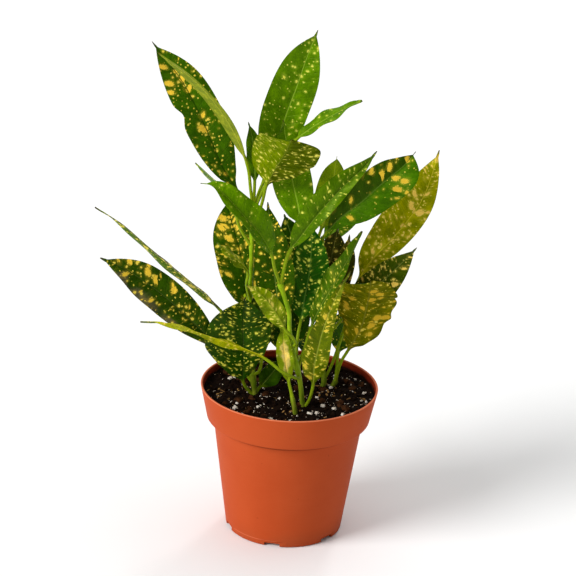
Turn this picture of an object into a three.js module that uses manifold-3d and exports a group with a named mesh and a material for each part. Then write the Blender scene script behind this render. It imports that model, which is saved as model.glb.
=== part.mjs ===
// A young croton of three leafy shoots and two small side shoots, potted in a plastic nursery pot.
// Millimetres, +Z up, +X to the right and +Y away from the viewer. The origin is the centre of the pot's underside.
import * as THREE from 'three';
import { mergeVertices } from 'three/addons/utils/BufferGeometryUtils.js';
import Module from 'manifold-3d';

const wasm = await Module();
wasm.setup();

// Pot
const POT_HEIGHT = 93;
const RIM_RADIUS = 54.2;
const BAND_HEIGHT = 20.6;
const BAND_FOOT_RADIUS = 49.8;
const BAND_STEP = 3.9;
const BASE_RADIUS = 35.8;
const WALL = 1.3;
const ROUNDING = 0.6;
const BEVEL_HEIGHT = 6.3;
const BEVEL_OUT = 0.9;
const FLOOR = 1.6;
const FLAT_RADIUS = 25;
const CHANNEL_HEIGHT = 2.4;
const FOOT_WIDTH = 2.2;
const POT_SIDES = 48;
const NOTCHES = 6;
const FIRST_NOTCH_DEG = -10.5;
const NOTCH = { width: 9.6, height: 2 };
const RECESS = { width: 20, height: 3.6, depth: 0.5 };
const DRAIN_RADIUS = 3;

// Soil
const SOIL_BELOW_RIM = 5.7;
const SOIL_CROWN = 1.5;
const SOIL_LUMP = 0.7;
const SOIL_RINGS = 6;
const GAP = 0.3;
const HOLE_SIDES = 12;

// Shoots and leaves
const STEM_RADIUS = 1.35;
const FOOT_RADIUS = 1.75;
const FOOT_DEPTH = 14;
const STEM_SIDES = 8;
const STEM_STEPS = 11;
const STALK_RADIUS = 0.95;
const STALK_STEPS = 3;
const BLADE_STEPS = 9;
const BLADE_HALF = 0.34;
const RIB_KEEL = 0.45;
const TIP_STARTS = 0.965;
const SAMPLES = 14;

// The view that the plant's points are given in: from the front, a little above, and slightly rolled.
const VIEW = { centre: [-3.6, 0, 156], distance: 1400, pitch: 21.5, roll: 2.6 };

const radians = THREE.MathUtils.degToRad;
const mix = THREE.MathUtils.lerp;
const smooth = (x) => THREE.MathUtils.smoothstep(x, 0, 1);

const pitch = radians(VIEW.pitch);
const roll = radians(VIEW.roll);
const centre = new THREE.Vector3(...VIEW.centre);
const ahead = new THREE.Vector3(0, Math.cos(pitch), -Math.sin(pitch));
const level = new THREE.Vector3(1, 0, 0);
const upright = new THREE.Vector3(0, Math.sin(pitch), Math.cos(pitch));
const viewRight = level.clone().multiplyScalar(Math.cos(roll)).addScaledVector(upright, Math.sin(roll));
const viewUp = upright.clone().multiplyScalar(Math.cos(roll)).addScaledVector(level, -Math.sin(roll));
const eye = centre.clone().addScaledVector(ahead, -VIEW.distance);

// A point as seen from the front: right and up of the view's centre, and its depth behind the pot's axis.
function seen([right, up, depth]) {
  const onPlane = centre.clone().addScaledVector(viewRight, right).addScaledVector(viewUp, up);
  const ray = onPlane.sub(eye);
  return eye.clone().addScaledVector(ray, (depth - eye.y) / ray.y);
}

// Solids and meshes
function solid(positions, triangles) {
  const make = (faces) => new wasm.Manifold(new wasm.Mesh({
    numProp: 3,
    vertProperties: new Float32Array(positions),
    triVerts: new Uint32Array(faces),
  }));
  const made = make(triangles);
  if (made.volume() > 0) return made;
  const turned = [];
  for (let i = 0; i < triangles.length; i += 3) turned.push(triangles[i], triangles[i + 2], triangles[i + 1]);
  return make(turned);
}

function solidOf(geometry) {
  geometry.deleteAttribute('normal');
  geometry.deleteAttribute('uv');
  const merged = mergeVertices(geometry, 1e-4);
  const faces = [];
  const index = merged.index.array;
  for (let i = 0; i < index.length; i += 3) {
    const [a, b, c] = [index[i], index[i + 1], index[i + 2]];
    if (a !== b && b !== c && c !== a) faces.push(a, b, c);
  }
  return solid(merged.attributes.position.array, faces);
}

function meshOf(name, shape, material) {
  const { vertProperties, triVerts, numProp } = shape.getMesh();
  const positions = [];
  for (let i = 0; i < vertProperties.length; i += numProp) positions.push(...vertProperties.slice(i, i + 3));
  const geometry = new THREE.BufferGeometry();
  geometry.setAttribute('position', new THREE.Float32BufferAttribute(positions, 3));
  geometry.setIndex([...triVerts]);
  geometry.computeVertexNormals();
  const mesh = new THREE.Mesh(geometry, material);
  mesh.name = name;
  return mesh;
}

// Turns a profile of (radius, height) points about the pot's axis.
function turned(profile, sides) {
  const geometry = new THREE.LatheGeometry(profile.map(([r, z]) => new THREE.Vector2(r, z)), sides);
  return geometry.rotateX(Math.PI / 2);
}

function post(x, y, low, high, radius, sides) {
  const geometry = new THREE.CylinderGeometry(radius, radius, high - low, sides);
  geometry.rotateX(Math.PI / 2);
  return solidOf(geometry.translate(x, y, (low + high) / 2));
}

// Pot: a thin tapered wall with a wider band at the top, standing on a foot ring and a flat middle.
const bandFoot = POT_HEIGHT - BAND_HEIGHT;
const bodyTop = BAND_FOOT_RADIUS - BAND_STEP;
const floorTop = CHANNEL_HEIGHT + FLOOR;
const bevelRadius = BASE_RADIUS + BEVEL_OUT;

function bodyRadius(z) {
  return mix(bevelRadius, bodyTop, (z - BEVEL_HEIGHT) / (bandFoot - BEVEL_HEIGHT));
}

function bandRadius(z) {
  return mix(BAND_FOOT_RADIUS, RIM_RADIUS, (z - bandFoot) / BAND_HEIGHT);
}

function potProfile() {
  const footInner = BASE_RADIUS - FOOT_WIDTH;
  return [
    [0, 0],
    [FLAT_RADIUS, 0],
    [FLAT_RADIUS + 1.2, CHANNEL_HEIGHT],
    [footInner - ROUNDING, CHANNEL_HEIGHT],
    [footInner, 0],
    [BASE_RADIUS - ROUNDING, 0],
    [BASE_RADIUS, ROUNDING],
    [bevelRadius, BEVEL_HEIGHT],
    [bodyTop, bandFoot],
    [BAND_FOOT_RADIUS - ROUNDING, bandFoot],
    [BAND_FOOT_RADIUS, bandFoot + ROUNDING],
    [bandRadius(POT_HEIGHT - ROUNDING), POT_HEIGHT - ROUNDING],
    [RIM_RADIUS - ROUNDING, POT_HEIGHT],
    [RIM_RADIUS - WALL, POT_HEIGHT - ROUNDING],
    [bandRadius(bandFoot + WALL) - WALL, bandFoot + WALL],
    [bodyTop - WALL, bandFoot + WALL],
    [bodyRadius(floorTop) - WALL, floorTop],
    [0, floorTop],
  ];
}

function pot() {
  let shape = solidOf(turned(potProfile(), POT_SIDES));
  for (let i = 0; i < NOTCHES; i++) {
    const turn = radians(FIRST_NOTCH_DEG + (360 / NOTCHES) * i);
    const cut = (size, radius, width, height) => {
      const box = new THREE.BoxGeometry(width, size, height * 2);
      return solidOf(box.translate(0, -radius, 0).rotateZ(turn));
    };
    shape = shape.subtract(cut(FOOT_WIDTH * 3, BASE_RADIUS, NOTCH.width, NOTCH.height));
    const skin = BASE_RADIUS * Math.cos(Math.PI / POT_SIDES) - RECESS.depth + FOOT_WIDTH;
    shape = shape.subtract(cut(FOOT_WIDTH * 2, skin, RECESS.width, RECESS.height));
    const drain = (FLAT_RADIUS + BASE_RADIUS - FOOT_WIDTH) / 2;
    const [x, y] = [Math.sin(turn) * drain, -Math.cos(turn) * drain];
    shape = shape.subtract(post(x, y, 1, floorTop + 1, DRAIN_RADIUS, HOLE_SIDES));
  }
  return shape;
}

// Soil: fills the pot to a little under the rim, crowned in the middle and lumpy on top.
const soilEdge = POT_HEIGHT - SOIL_BELOW_RIM;
const soilRadius = bandRadius(soilEdge) - WALL - GAP;

function soilTop(x, y) {
  const crown = SOIL_CROWN * (1 - (x * x + y * y) / (soilRadius * soilRadius));
  const lumps = Math.sin(x * 0.23 + 1) * Math.cos(y * 0.27) + 0.6 * Math.sin((x + y) * 0.41);
  return soilEdge + crown + SOIL_LUMP * lumps;
}

function soil(feet) {
  const bottom = floorTop + GAP;
  const profile = [
    [0, bottom],
    [bodyRadius(bottom) - WALL - GAP, bottom],
    [bodyTop - WALL - GAP, bandFoot + WALL + GAP],
    [bandRadius(bandFoot + WALL) - WALL - GAP, bandFoot + WALL + GAP],
  ];
  for (let i = 0; i <= SOIL_RINGS; i++) profile.push([soilRadius * (1 - i / SOIL_RINGS), soilEdge]);
  const geometry = turned(profile, POT_SIDES);
  const places = geometry.attributes.position;
  for (let i = 0; i < places.count; i++) {
    if (places.getZ(i) > soilEdge - 0.01) places.setZ(i, soilTop(places.getX(i), places.getY(i)));
  }
  let shape = solidOf(geometry);
  for (const [x, y] of feet) {
    const hole = post(x, y, soilEdge - FOOT_DEPTH - GAP, POT_HEIGHT, FOOT_RADIUS + 2 * GAP, HOLE_SIDES);
    shape = shape.subtract(hole);
  }
  return shape;
}

// A smooth path through points, walked by distance.
function pathThrough(points) {
  const curve = new THREE.CatmullRomCurve3(points, false, 'centripetal');
  const samples = curve.getPoints(SAMPLES * (points.length - 1));
  const far = [0];
  for (let i = 1; i < samples.length; i++) far.push(far[i - 1] + samples[i].distanceTo(samples[i - 1]));
  const at = (distance) => {
    let i = 1;
    while (i < samples.length - 1 && far[i] < distance) i++;
    return samples[i - 1].clone().lerp(samples[i], (distance - far[i - 1]) / (far[i] - far[i - 1]));
  };
  const along = (distance) => {
    const step = far[far.length - 1] / 200;
    const behind = at(Math.max(distance - step, 0));
    return at(Math.min(distance + step, far[far.length - 1])).sub(behind).normalize();
  };
  return { at, along, distanceOf: (pointIndex) => far[SAMPLES * pointIndex], length: far[far.length - 1] };
}

// Joins rings of points into one closed body, with alike diagonals on the upper and the lower face.
function loft(rings) {
  const ring = rings[0].length;
  const half = ring / 2;
  const positions = [];
  for (const points of rings) for (const p of points) positions.push(p.x, p.y, p.z);
  const faces = [];
  for (let i = 0; i < rings.length - 1; i++) {
    for (let j = 0; j < ring; j++) {
      const next = (j + 1) % ring;
      const [a, b] = [i * ring + j, i * ring + next];
      const [c, d] = [a + ring, b + ring];
      if (j < half) faces.push(a, b, d, a, d, c);
      else faces.push(a, b, c, b, d, c);
    }
  }
  const last = (rings.length - 1) * ring;
  for (let j = 0; j < half - 1; j++) {
    const under = ring - 1 - j;
    faces.push(j + 1, j, under, j + 1, under, under - 1);
    faces.push(last + j, last + j + 1, last + under, last + j + 1, last + under - 1, last + under);
  }
  return solid(positions, faces);
}

// The blade's own directions at a point: across it, and out of its upper face. At no turn it faces the viewer.
function bladeAxes(point, along, turnDeg) {
  const toEye = eye.clone().sub(point).normalize();
  const out = toEye.addScaledVector(along, -toEye.dot(along)).normalize();
  const across = along.clone().cross(out);
  const turn = radians(turnDeg);
  return {
    across: across.clone().multiplyScalar(Math.cos(turn)).addScaledVector(out, Math.sin(turn)),
    out: out.clone().multiplyScalar(Math.cos(turn)).addScaledVector(across, -Math.sin(turn)),
  };
}

// A leaf's value, or where its two sides differ, the value on this side.
function oneSide(value, side) {
  if (!Array.isArray(value)) return value;
  return side < 0 ? value[0] : value[1];
}

// Half the blade's width at a part of its length, on one side. The blade is widest at a part of its length
// and curves in to both ends. A nick is a bite out of the edge.
function halfWidth(leaf, part, side) {
  const { nick } = leaf;
  const widest = oneSide(leaf.widest ?? 0.46, side);
  const body = part / TIP_STARTS;
  const toBase = Math.max((widest - body) / widest, 0) ** oneSide(leaf.base ?? 2.2, side);
  const toTip = THREE.MathUtils.clamp((body - widest) / (1 - widest), 0, 1) ** oneSide(leaf.tip ?? 2.1, side);
  let width = oneSide(leaf.half, side) * (1 - (body < widest ? toBase : toTip));
  if (nick && nick.side * side > 0) width *= 1 - nick.depth * Math.exp(-(((part - nick.at) / 0.05) ** 2));
  return Math.max(width, 0);
}

// One leaf: a round stalk that runs out into a folded, rippled blade, as one closed body.
function leafSolid(leaf, stem) {
  const { fold = 14, turn = [0, 0], ripple = [2.5, 0.9], columns = 5 } = leaf;
  const start = onStem(stem, leaf.node);
  const points = [start, ...leaf.stalk, ...leaf.rib].map(seen);
  const path = pathThrough(points);
  const baseFar = path.distanceOf(leaf.stalk.length + 1);
  const bladeLength = path.length - baseFar;
  const ringAt = (distance) => {
    const part = THREE.MathUtils.clamp((distance - baseFar) / bladeLength, 0, 1);
    const flat = smooth(THREE.MathUtils.clamp(part / 0.12, 0, 1));
    const middle = path.at(distance);
    const { across, out } = bladeAxes(middle, path.along(distance), mix(turn[0], turn[1], part));
    const place = (v, face) => {
      const wide = Math.max(halfWidth(leaf, part, v), part > 0.5 ? BLADE_HALF : STALK_RADIUS);
      const bend = radians(fold) * (1 - 0.35 * Math.abs(v));
      const wave = ripple[1] * v * v * Math.sin(2 * Math.PI * (ripple[0] * part + (v > 0 ? 0.3 : 0)));
      const keel = v === 0 && face < 0 ? RIB_KEEL * (1 - part) : 0;
      const angle = v * (Math.PI / 2) * (1 - 1 / columns);
      const side = mix(STALK_RADIUS * Math.sin(angle), v * wide * Math.cos(bend), flat);
      const lift = Math.abs(v) * wide * Math.sin(bend) + wave + face * (BLADE_HALF + keel);
      const height = mix(face * STALK_RADIUS * Math.cos(angle), lift, flat);
      return middle.clone().addScaledVector(across, side).addScaledVector(out, height);
    };
    const steps = Array.from({ length: columns }, (_, j) => -1 + (2 * j) / (columns - 1));
    return [...steps.map((v) => place(v, 1)), ...steps.reverse().map((v) => place(v, -1))];
  };
  const rings = [];
  for (let i = 0; i < STALK_STEPS; i++) rings.push(ringAt((baseFar * i) / STALK_STEPS));
  for (let i = 0; i <= BLADE_STEPS; i++) {
    const even = i / BLADE_STEPS;
    const part = mix(even, (1 - Math.cos(Math.PI * even)) / 2, 0.45);
    rings.push(ringAt(baseFar + bladeLength * part));
  }
  return loft(rings);
}

// The point of a stem that is seen at a height above the view's centre.
function onStem(stem, up) {
  const points = stem.points;
  let i = 1;
  while (i < points.length - 1 && points[i][1] < up) i++;
  const part = (up - points[i - 1][1]) / (points[i][1] - points[i - 1][1]);
  return points[i].map((value, axis) => mix(points[i - 1][axis], value, part));
}

function stemSolid(stem) {
  const [x, y] = stem.foot;
  const low = new THREE.Vector3(x, y, soilEdge - FOOT_DEPTH);
  const ground = new THREE.Vector3(x, y, soilEdge + SOIL_CROWN);
  const path = pathThrough([low, ground, ...stem.points.map(seen)]);
  const rings = [];
  for (let i = 0; i <= STEM_STEPS; i++) {
    const distance = (path.length * i) / STEM_STEPS;
    const middle = path.at(distance);
    const thick = mix(FOOT_RADIUS, stem.tipRadius ?? STEM_RADIUS, smooth(Math.min(distance / (FOOT_DEPTH * 3), 1)));
    const { across, out } = bladeAxes(middle, path.along(distance), 0);
    const ring = [];
    for (let j = 0; j < STEM_SIDES; j++) {
      const angle = Math.PI - (2 * Math.PI * (j + 0.5)) / STEM_SIDES;
      ring.push(middle.clone()
        .addScaledVector(across, thick * Math.cos(angle))
        .addScaledVector(out, thick * Math.sin(angle)));
    }
    rings.push(ring);
  }
  return loft(rings);
}

function shoot(stem) {
  return stem.leaves.reduce((joined, leaf) => joined.add(leafSolid(leaf, stem)), stemSolid(stem));
}

// The shoots. Stem points, stalks and ribs are lists of points as seen from the front. A leaf springs
// from the stem at its node, and its stalk runs to the rib's first point, where the blade begins.
// A turn of 0 shows the upper face to the front, 180 the lower face, and 90 the edge.
const shootLeft = {
  foot: [-21, -7],
  points: [
    [-20.6, -58, -7], [-21.1, -50.4, -7], [-21.9, -31.2, -8], [-22.6, -4.8, -9], [-21.9, 16.8, -9],
    [-21.9, 28.8, -8], [-21, 39.6, -7], [-20.4, 50, -7],
  ],
  leaves: [
    { // tall dark leaf at the upper left
      node: 31, stalk: [[-24, 43, -5]], half: [12.8, 13.4], fold: 18, turn: [-14, -8], widest: [0.56, 0.46], tip: 2.6,
      rib: [[-30, 57.6, -3], [-38.7, 71.5, -1], [-49.2, 95.8, 2], [-62.6, 122.5, 6], [-81.6, 148, 9]],
      nick: { side: -1, at: 0.54, depth: 0.24 },
    },
    { // edge-on leaf before it
      node: 44, stalk: [[-22.4, 58.8, -12]], half: 8.4, fold: 12, turn: [68, 72], columns: 3, ripple: [1.5, 0.4],
      rib: [[-24.6, 74.4, -15], [-36, 99.6, -18], [-54.6, 123, -18], [-78, 141, -14]],
    },
    { // small upright leaf at the top
      node: 49, stalk: [[-20.3, 56, -6]], half: 5, fold: 10, turn: [-20, -20], columns: 3,
      rib: [[-20, 63, -5], [-20.4, 76.8, -3], [-21.3, 88.8, -1], [-23.7, 99.6, 1]],
    },
    { // topmost bright leaf
      node: 48, stalk: [[-16.4, 60, -7]], half: [14.8, 12.4], fold: 12, widest: 0.52, base: 3, tip: 2.7,
      rib: [[-11.4, 70, -2], [-6.4, 88, 5], [-0.8, 105, 8], [5.6, 122, 11], [11.4, 138.6, 12], [18, 154.8, 13]],
    },
    { // broad leaf that leans to the viewer and shows its lower face
      node: 37, stalk: [[-16.5, 48, -9], [-14.4, 55.8, -12]], half: [18.5, 19], fold: 3, turn: [178, 178],
      widest: [0.8, 0.58], base: [2, 2.8], tip: [4, 3.3],
      rib: [[-13.3, 60.6, -14], [-9.8, 67.4, -18], [-6, 73.8, -25], [-2.4, 79.6, -34], [0.4, 84.6, -45],
        [2.1, 89.4, -56]],
    },
    { // narrow leaf at the top right
      node: 46, stalk: [[-12, 64.8, -12], [-3.6, 78, -14]], half: 6.2, fold: 14, turn: [50, 60], columns: 3,
      rib: [[4.8, 88.8, -12], [13, 95.2, -9], [23, 101.4, -6], [34, 107.6, -3], [44.4, 112.8, 0]],
    },
    { // dark edge-on leaf under the tall ones
      node: 25, stalk: [[-28.8, 36, -10]], half: 5.2, fold: 12, turn: [70, 76], columns: 3,
      rib: [[-32.7, 48, -12], [-40.8, 61, -13], [-48, 68, -13], [-55.8, 75, -12]],
    },
    { // small narrow leaf at mid height
      node: -8, stalk: [[-24.9, 1.8, -12]], half: 4.6, fold: 10, turn: [125, 125], columns: 3,
      rib: [[-24.3, 9.6, -14], [-32.4, 18.6, -17], [-42.6, 27, -19]],
    },
    { // tall spotted leaf behind the stem
      node: -27, stalk: [[-22.8, -20.4, -3]], half: 15.2, fold: 12, turn: [-8, 4], widest: 0.52, base: 2.4, tip: 2.9,
      rib: [[-24.6, -14.4, 1], [-25.8, 1.8, 5], [-28.4, 20.4, 9], [-32.4, 35, 13], [-37.4, 52.8, 20]],
    },
    { // long edge-on leaf out to the left
      node: -33, stalk: [[-30, -24, -4]], half: 7.6, fold: 16, turn: [72, 84], widest: 0.36, ripple: [4, 0.9],
      rib: [[-40.2, -13.8, -1], [-50, -4, -1], [-60, 4.5, -2], [-84.6, 25, -4], [-99, 37.6, -6], [-115.8, 48.6, -8]],
    },
    { // broad low leaf in front of the stem
      node: -64.4, stalk: [[-23.4, -61.6, -8.4]], half: [23, 17], fold: 14, turn: [4, -4],
      widest: [0.48, 0.6], base: 1.5, tip: 2.4,
      rib: [[-26.6, -57, -10.5], [-26.9, -45, -14.5], [-27, -31, -18], [-27, -20, -21], [-26.6, -12, -25],
        [-25.6, -5.6, -31]],
    },
    { // long dark leaf low on the left
      node: -57, stalk: [[-29.5, -47, -4]], half: 11.4, fold: 12, turn: [8, -14], widest: 0.56, tip: 2.4,
      ripple: [4, 1.1],
      rib: [[-39.6, -36.5, -6], [-52.8, -24.6, -9], [-64.8, -13.2, -11], [-76.8, -3, -12], [-88.8, 5.8, -13],
        [-100.8, 12.8, -14], [-112.8, 18, -14]],
    },
    { // dark leaf to the right of the stem's foot
      node: -63.5, stalk: [[-19, -62, -6]], half: 6.5, fold: 14, turn: [-20, -10],
      rib: [[-17.2, -59.6, -5], [-13.4, -55.4, -4], [-9.6, -51, -3], [-5.8, -46.6, -2], [-2, -43.4, -1]],
    },
    { // second low leaf, on a hooked stalk
      node: -52, stalk: [[-17.6, -50.4, -9], [-15.9, -44.4, -11]], half: 9.5, fold: 12, turn: [-12, 0],
      rib: [[-15.4, -37.2, -10.6], [-15.4, -28.2, -11], [-16, -18, -12], [-17.6, -9, -12.6], [-19.6, -1, -12]],
    },
    { // leaves at the back
      node: -12, stalk: [[-26, -4, 4]], half: 11, fold: 12, turn: [-15, 10], ripple: [2, 0.5],
      rib: [[-28, 1, 12], [-30, 9, 26], [-31, 15, 42], [-31, 18, 60], [-31, 17, 76]],
    },
    {
      node: -36, stalk: [[-20, -31, 4]], half: 10, fold: 12, turn: [12, -8], ripple: [2, 0.5],
      rib: [[-19, -27, 12], [-18, -20, 26], [-16, -15, 42], [-14, -14, 58], [-12, -18, 72]],
    },
    {
      node: -55, stalk: [[-25, -48, 2]], half: 10.5, fold: 12, turn: [-10, 10], ripple: [2, 0.5],
      rib: [[-27, -43, 8], [-31, -34, 20], [-35, -27, 34], [-39, -24, 48], [-43, -27, 60]],
    },
    {
      node: 43, stalk: [[-17.5, 56, -2], [-15.5, 62, 6]], half: 9.5, fold: 12, turn: [-10, 0], ripple: [2, 0.5],
      rib: [[-13.6, 68, 13], [-10, 76, 25], [-6, 82, 38], [-2, 84, 52], [2, 82, 66]],
    },
  ],
};

const shootFront = {
  foot: [8.5, -22],
  points: [
    [8.3, -66, -22], [7.6, -58.8, -22], [5.8, -49.2, -22], [3, -37.8, -22], [0.9, -25.2, -22], [0.6, -15, -22],
    [-1.8, -6.6, -22], [-4.2, 0.6, -22], [-5.4, 5, -22],
  ],
  leaves: [
    { // folded bright leaf to the left
      node: 2, stalk: [[-8.1, 12, -26]], half: 11, fold: 40, turn: [-43, -41], widest: 0.42, base: 2.6,
      rib: [[-9.6, 19.2, -28], [-14.4, 28.8, -31], [-20.6, 37, -33], [-27.2, 44, -34], [-34, 51.5, -34],
        [-44, 61, -32], [-52.5, 63, -31]],
    },
    { // folded bright leaf to the right
      node: 2.4, stalk: [[-3, 9, -24], [-1.5, 15.6, -26]], half: [10, 6.2], fold: 36, turn: [6, 6],
      rib: [[0.6, 21.6, -27], [7.8, 31.2, -29], [15.6, 41.4, -30], [26.2, 53.4, -30], [35.4, 63, -28],
        [46.2, 73, -25], [53.4, 82.2, -22]],
    },
    { // tall green leaf in the middle
      node: 1, stalk: [[-1.2, 15.6, -19], [3.6, 27, -16]], half: 11.8, fold: 10, turn: [10, 0], base: 2.4,
      rib: [[6.6, 36, -13], [6.6, 45.6, -11], [3.6, 60, -8], [0.6, 75, -5], [-1.2, 88.6, -3], [-3, 101, -2]],
    },
    { // dark leaf between the stems
      node: -33, stalk: [[-1.6, -29, -18]], half: 12, fold: 12, turn: [-6, 6],
      rib: [[-4.2, -24, -16], [-6, -9, -14], [-8, 7, -12], [-9.6, 24, -11], [-11, 39, -9], [-12.2, 51.6, -6]],
    },
    { // dark leaf with pale dots, right of the stem
      node: -46, stalk: [[5.2, -37.8, -18], [6, -28, -13.5]], half: 12, fold: 12, turn: [4, 0], tip: 2.5,
      rib: [[7.4, -21, -10.5], [10.4, -4, -7.5], [12.8, 9, -5], [13.8, 20, -3], [14.4, 30, -1], [14.4, 38.4, 1]],
    },
    { // bright leaf that rises to the right, its right half edge-on
      node: -49, stalk: [[9.6, -37.2, -19.5]], half: [8.4, 7], fold: 28, turn: [48, 50],
      rib: [[13.8, -24, -17], [19.2, -12, -16], [25.2, -1.8, -15.5], [31.8, 9.6, -15], [37.2, 19.2, -14],
        [40.8, 27, -13.5], [44.1, 34.2, -13]],
    },
    { // olive leaf across the stem
      node: -35, stalk: [[4.6, -33.6, -27], [2.6, -29.4, -31.5]], half: 6.2, fold: 12, turn: [176, 170],
      rib: [[-1.4, -25.4, -34], [-4.8, -19.2, -35.5], [-10.2, -10.8, -37], [-16.8, -3.6, -38], [-25.2, 1.8, -38]],
    },
    { // long narrow leaf low to the left, edge-on
      node: -54, stalk: [[3.6, -53.8, -32], [-4, -50, -37]], half: 4.6, fold: 14, turn: [112, 106], columns: 3,
      widest: 0.4,
      rib: [[-12.9, -43, -37.5], [-25.2, -37.2, -39], [-39.6, -32.1, -41], [-53.4, -27.3, -42], [-66.6, -23, -42],
        [-78, -20.4, -42], [-88.5, -20.8, -41]],
    },
    { // spotted leaf at the front right, rising from the foot
      node: -72, stalk: [[12, -68.5, -23]], half: 8, fold: 14, turn: [8, -6], widest: 0.3, tip: 1.4,
      rib: [[15, -58.8, -27], [15.6, -48, -31], [18, -36.6, -34], [21, -25.2, -36], [25.2, -13.8, -36],
        [30.6, -1.8, -35], [37.8, 10.2, -33]],
    },
    { // dark leaves low behind the stem
      node: -50, stalk: [[1.6, -45, -17]], half: 9.5, fold: 12, turn: [-4, 4],
      rib: [[-1, -40, -12], [-3.2, -31, -7], [-5, -21, -4], [-6.6, -10, -2], [-7.6, 2, 1]],
    },
    {
      node: -44, stalk: [[5, -40, -17]], half: 11, fold: 12, turn: [-4, 4],
      rib: [[4.4, -36, -10], [3.4, -26, -5], [2.2, -14, -1], [0.6, -1, 3], [-1, 12, 6]],
    },
    { // leaf at the back
      node: -47, stalk: [[6, -42, -12]], half: 9, fold: 12, turn: [0, 10], ripple: [2, 0.5],
      rib: [[9, -40, -4], [11, -35, 7], [12, -31, 18], [12, -30, 30], [11, -32, 42]],
    },
  ],
};

const shootRight = {
  foot: [20, 7],
  points: [
    [21.5, -57, 7], [21, -48, 7], [20, -31, 6], [19.4, -10, 6], [19.2, 7, 5], [19.4, 20, 5], [20.4, 31, 4],
  ],
  leaves: [
    { // glossy dark leaf to the upper right
      node: 28, stalk: [[21, 30, 2.5]], half: [11.8, 14.4], fold: 14, turn: [-6, 4],
      widest: [0.58, 0.7], base: 1.9, tip: [2.4, 3.6],
      rib: [[22.6, 32.6, 1], [30.6, 41.4, 0], [43.2, 51, -2], [53.8, 60.4, -3], [61.2, 66.6, -3], [69, 73, -2],
        [76.8, 81.9, 2]],
    },
    { // long olive leaf that reaches furthest right
      node: -55, stalk: [[25.8, -47, 9], [32.4, -28.2, 12], [37.8, -10.2, 13]], half: [9, 15.4], fold: 10,
      turn: [180, 184], widest: 0.5,
      rib: [[42, 4.2, 13], [50.4, 16.8, 12], [61.2, 28, 11], [72.6, 41.4, 10], [80.4, 53, 9], [86.4, 68, 8],
        [90.8, 82.8, 7]],
    },
    { // dark spotted leaf under it
      node: -33, stalk: [[25.2, -27, 5]], half: 11, fold: 12, turn: [0, -10], tip: 1.9,
      rib: [[33, -18, 4], [43.2, -8.4, 3], [55.2, 2.6, 3], [66.6, 13.4, 3], [77.4, 24.2, 3]],
    },
    { // olive leaf at the top of the stem
      node: 27, stalk: [[18.4, 30, 7]], half: 9, fold: 10, turn: [178, 176], tip: 2.8,
      rib: [[19.5, 34, 9], [22.8, 43.8, 10], [25.2, 55.8, 10], [27.6, 67.8, 9], [29.4, 79.2, 8]],
    },
    { // dark leaf behind the stem
      node: -14, stalk: [[20.4, -10, 10]], half: 11, fold: 10, tip: 2.4,
      rib: [[21, -6, 14], [23.6, 7.8, 16], [27, 22.8, 18], [30, 36, 21]],
    },
    { // dark leaf crossing behind the middle
      node: -8, stalk: [[15, 2, 9]], half: 9, fold: 10,
      rib: [[10.6, 9, 11], [5.6, 22, 13], [1.4, 33.4, 14], [-2.4, 44.4, 16]],
    },
    { // leaves at the back
      node: -22, stalk: [[21.4, -17, 13]], half: 10.5, fold: 12, turn: [10, -8], ripple: [2, 0.5],
      rib: [[22, -12, 20], [24, -4, 34], [26, 2, 50], [28, 3, 66], [30, 0, 80]],
    },
    {
      node: 3, stalk: [[17, 8, 10]], half: 9.5, fold: 12, turn: [-12, 6], ripple: [2, 0.5],
      rib: [[14.4, 11, 18], [10, 18, 31], [6, 24, 45], [3, 26, 60], [1, 24, 73]],
    },
    {
      node: 15, stalk: [[21.5, 20.5, 13]], half: 8, fold: 12, turn: [8, -6], ripple: [2, 0.5],
      rib: [[22.6, 25, 20], [28, 35, 33], [36, 44.6, 46], [45, 53, 58], [54, 59, 68]],
    },
    { // dark brownish leaf low behind the middle
      node: -30, stalk: [[22, -24, 3]], half: 8.5, fold: 12, ripple: [2, 0.5],
      rib: [[23, -18, 2], [26, -6, 1], [30, 7, 1], [35, 19, 0], [37, 32, 0]],
    },
  ],
};

const sproutFront = {
  foot: [4, -32],
  tipRadius: 0.9,
  points: [[3, -68, -31.5], [2.2, -63, -30.5]],
  leaves: [
    { // slender yellow-green leaf in front of the stems
      node: -67, stalk: [[1.4, -60.4, -29.6]], half: 5, fold: 10, turn: [6, -4], tip: 2.6,
      rib: [[0.6, -57, -29], [-0.6, -49.2, -27.6], [-2, -40.2, -26.2], [-2.8, -31.2, -25], [-3.3, -22.4, -24]],
    },
  ],
};

const sproutRight = {
  foot: [26, 9],
  tipRadius: 1,
  points: [[28, -57, 8], [29.2, -53.4, 7]],
  leaves: [
    { // broad waved leaf at the right, its lower face to the viewer
      node: -56, stalk: [[31.8, -44.4, 3]], half: [17, 18.5], fold: 0, turn: [180, 178],
      widest: 0.62, base: 1.7, tip: 6, ripple: [3.5, 1.5],
      rib: [[35.4, -38.4, 0], [40.2, -30.6, -4], [44.4, -22.4, -8], [47.1, -12, -13], [48.4, -6, -20],
        [49.2, -0.4, -29], [49.6, 4.4, -38]],
    },
    { // leaf at the back
      node: -55, stalk: [[29.4, -46, 12]], half: 10, fold: 12, turn: [0, 8], ripple: [2, 0.5],
      rib: [[30, -40, 18], [32, -31, 30], [35, -24, 43], [38, -22, 56], [41, -26, 68]],
    },
  ],
};

const shoots = {
  shoot_left: shootLeft,
  shoot_front: shootFront,
  shoot_right: shootRight,
  sprout_front: sproutFront,
  sprout_right: sproutRight,
};

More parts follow.
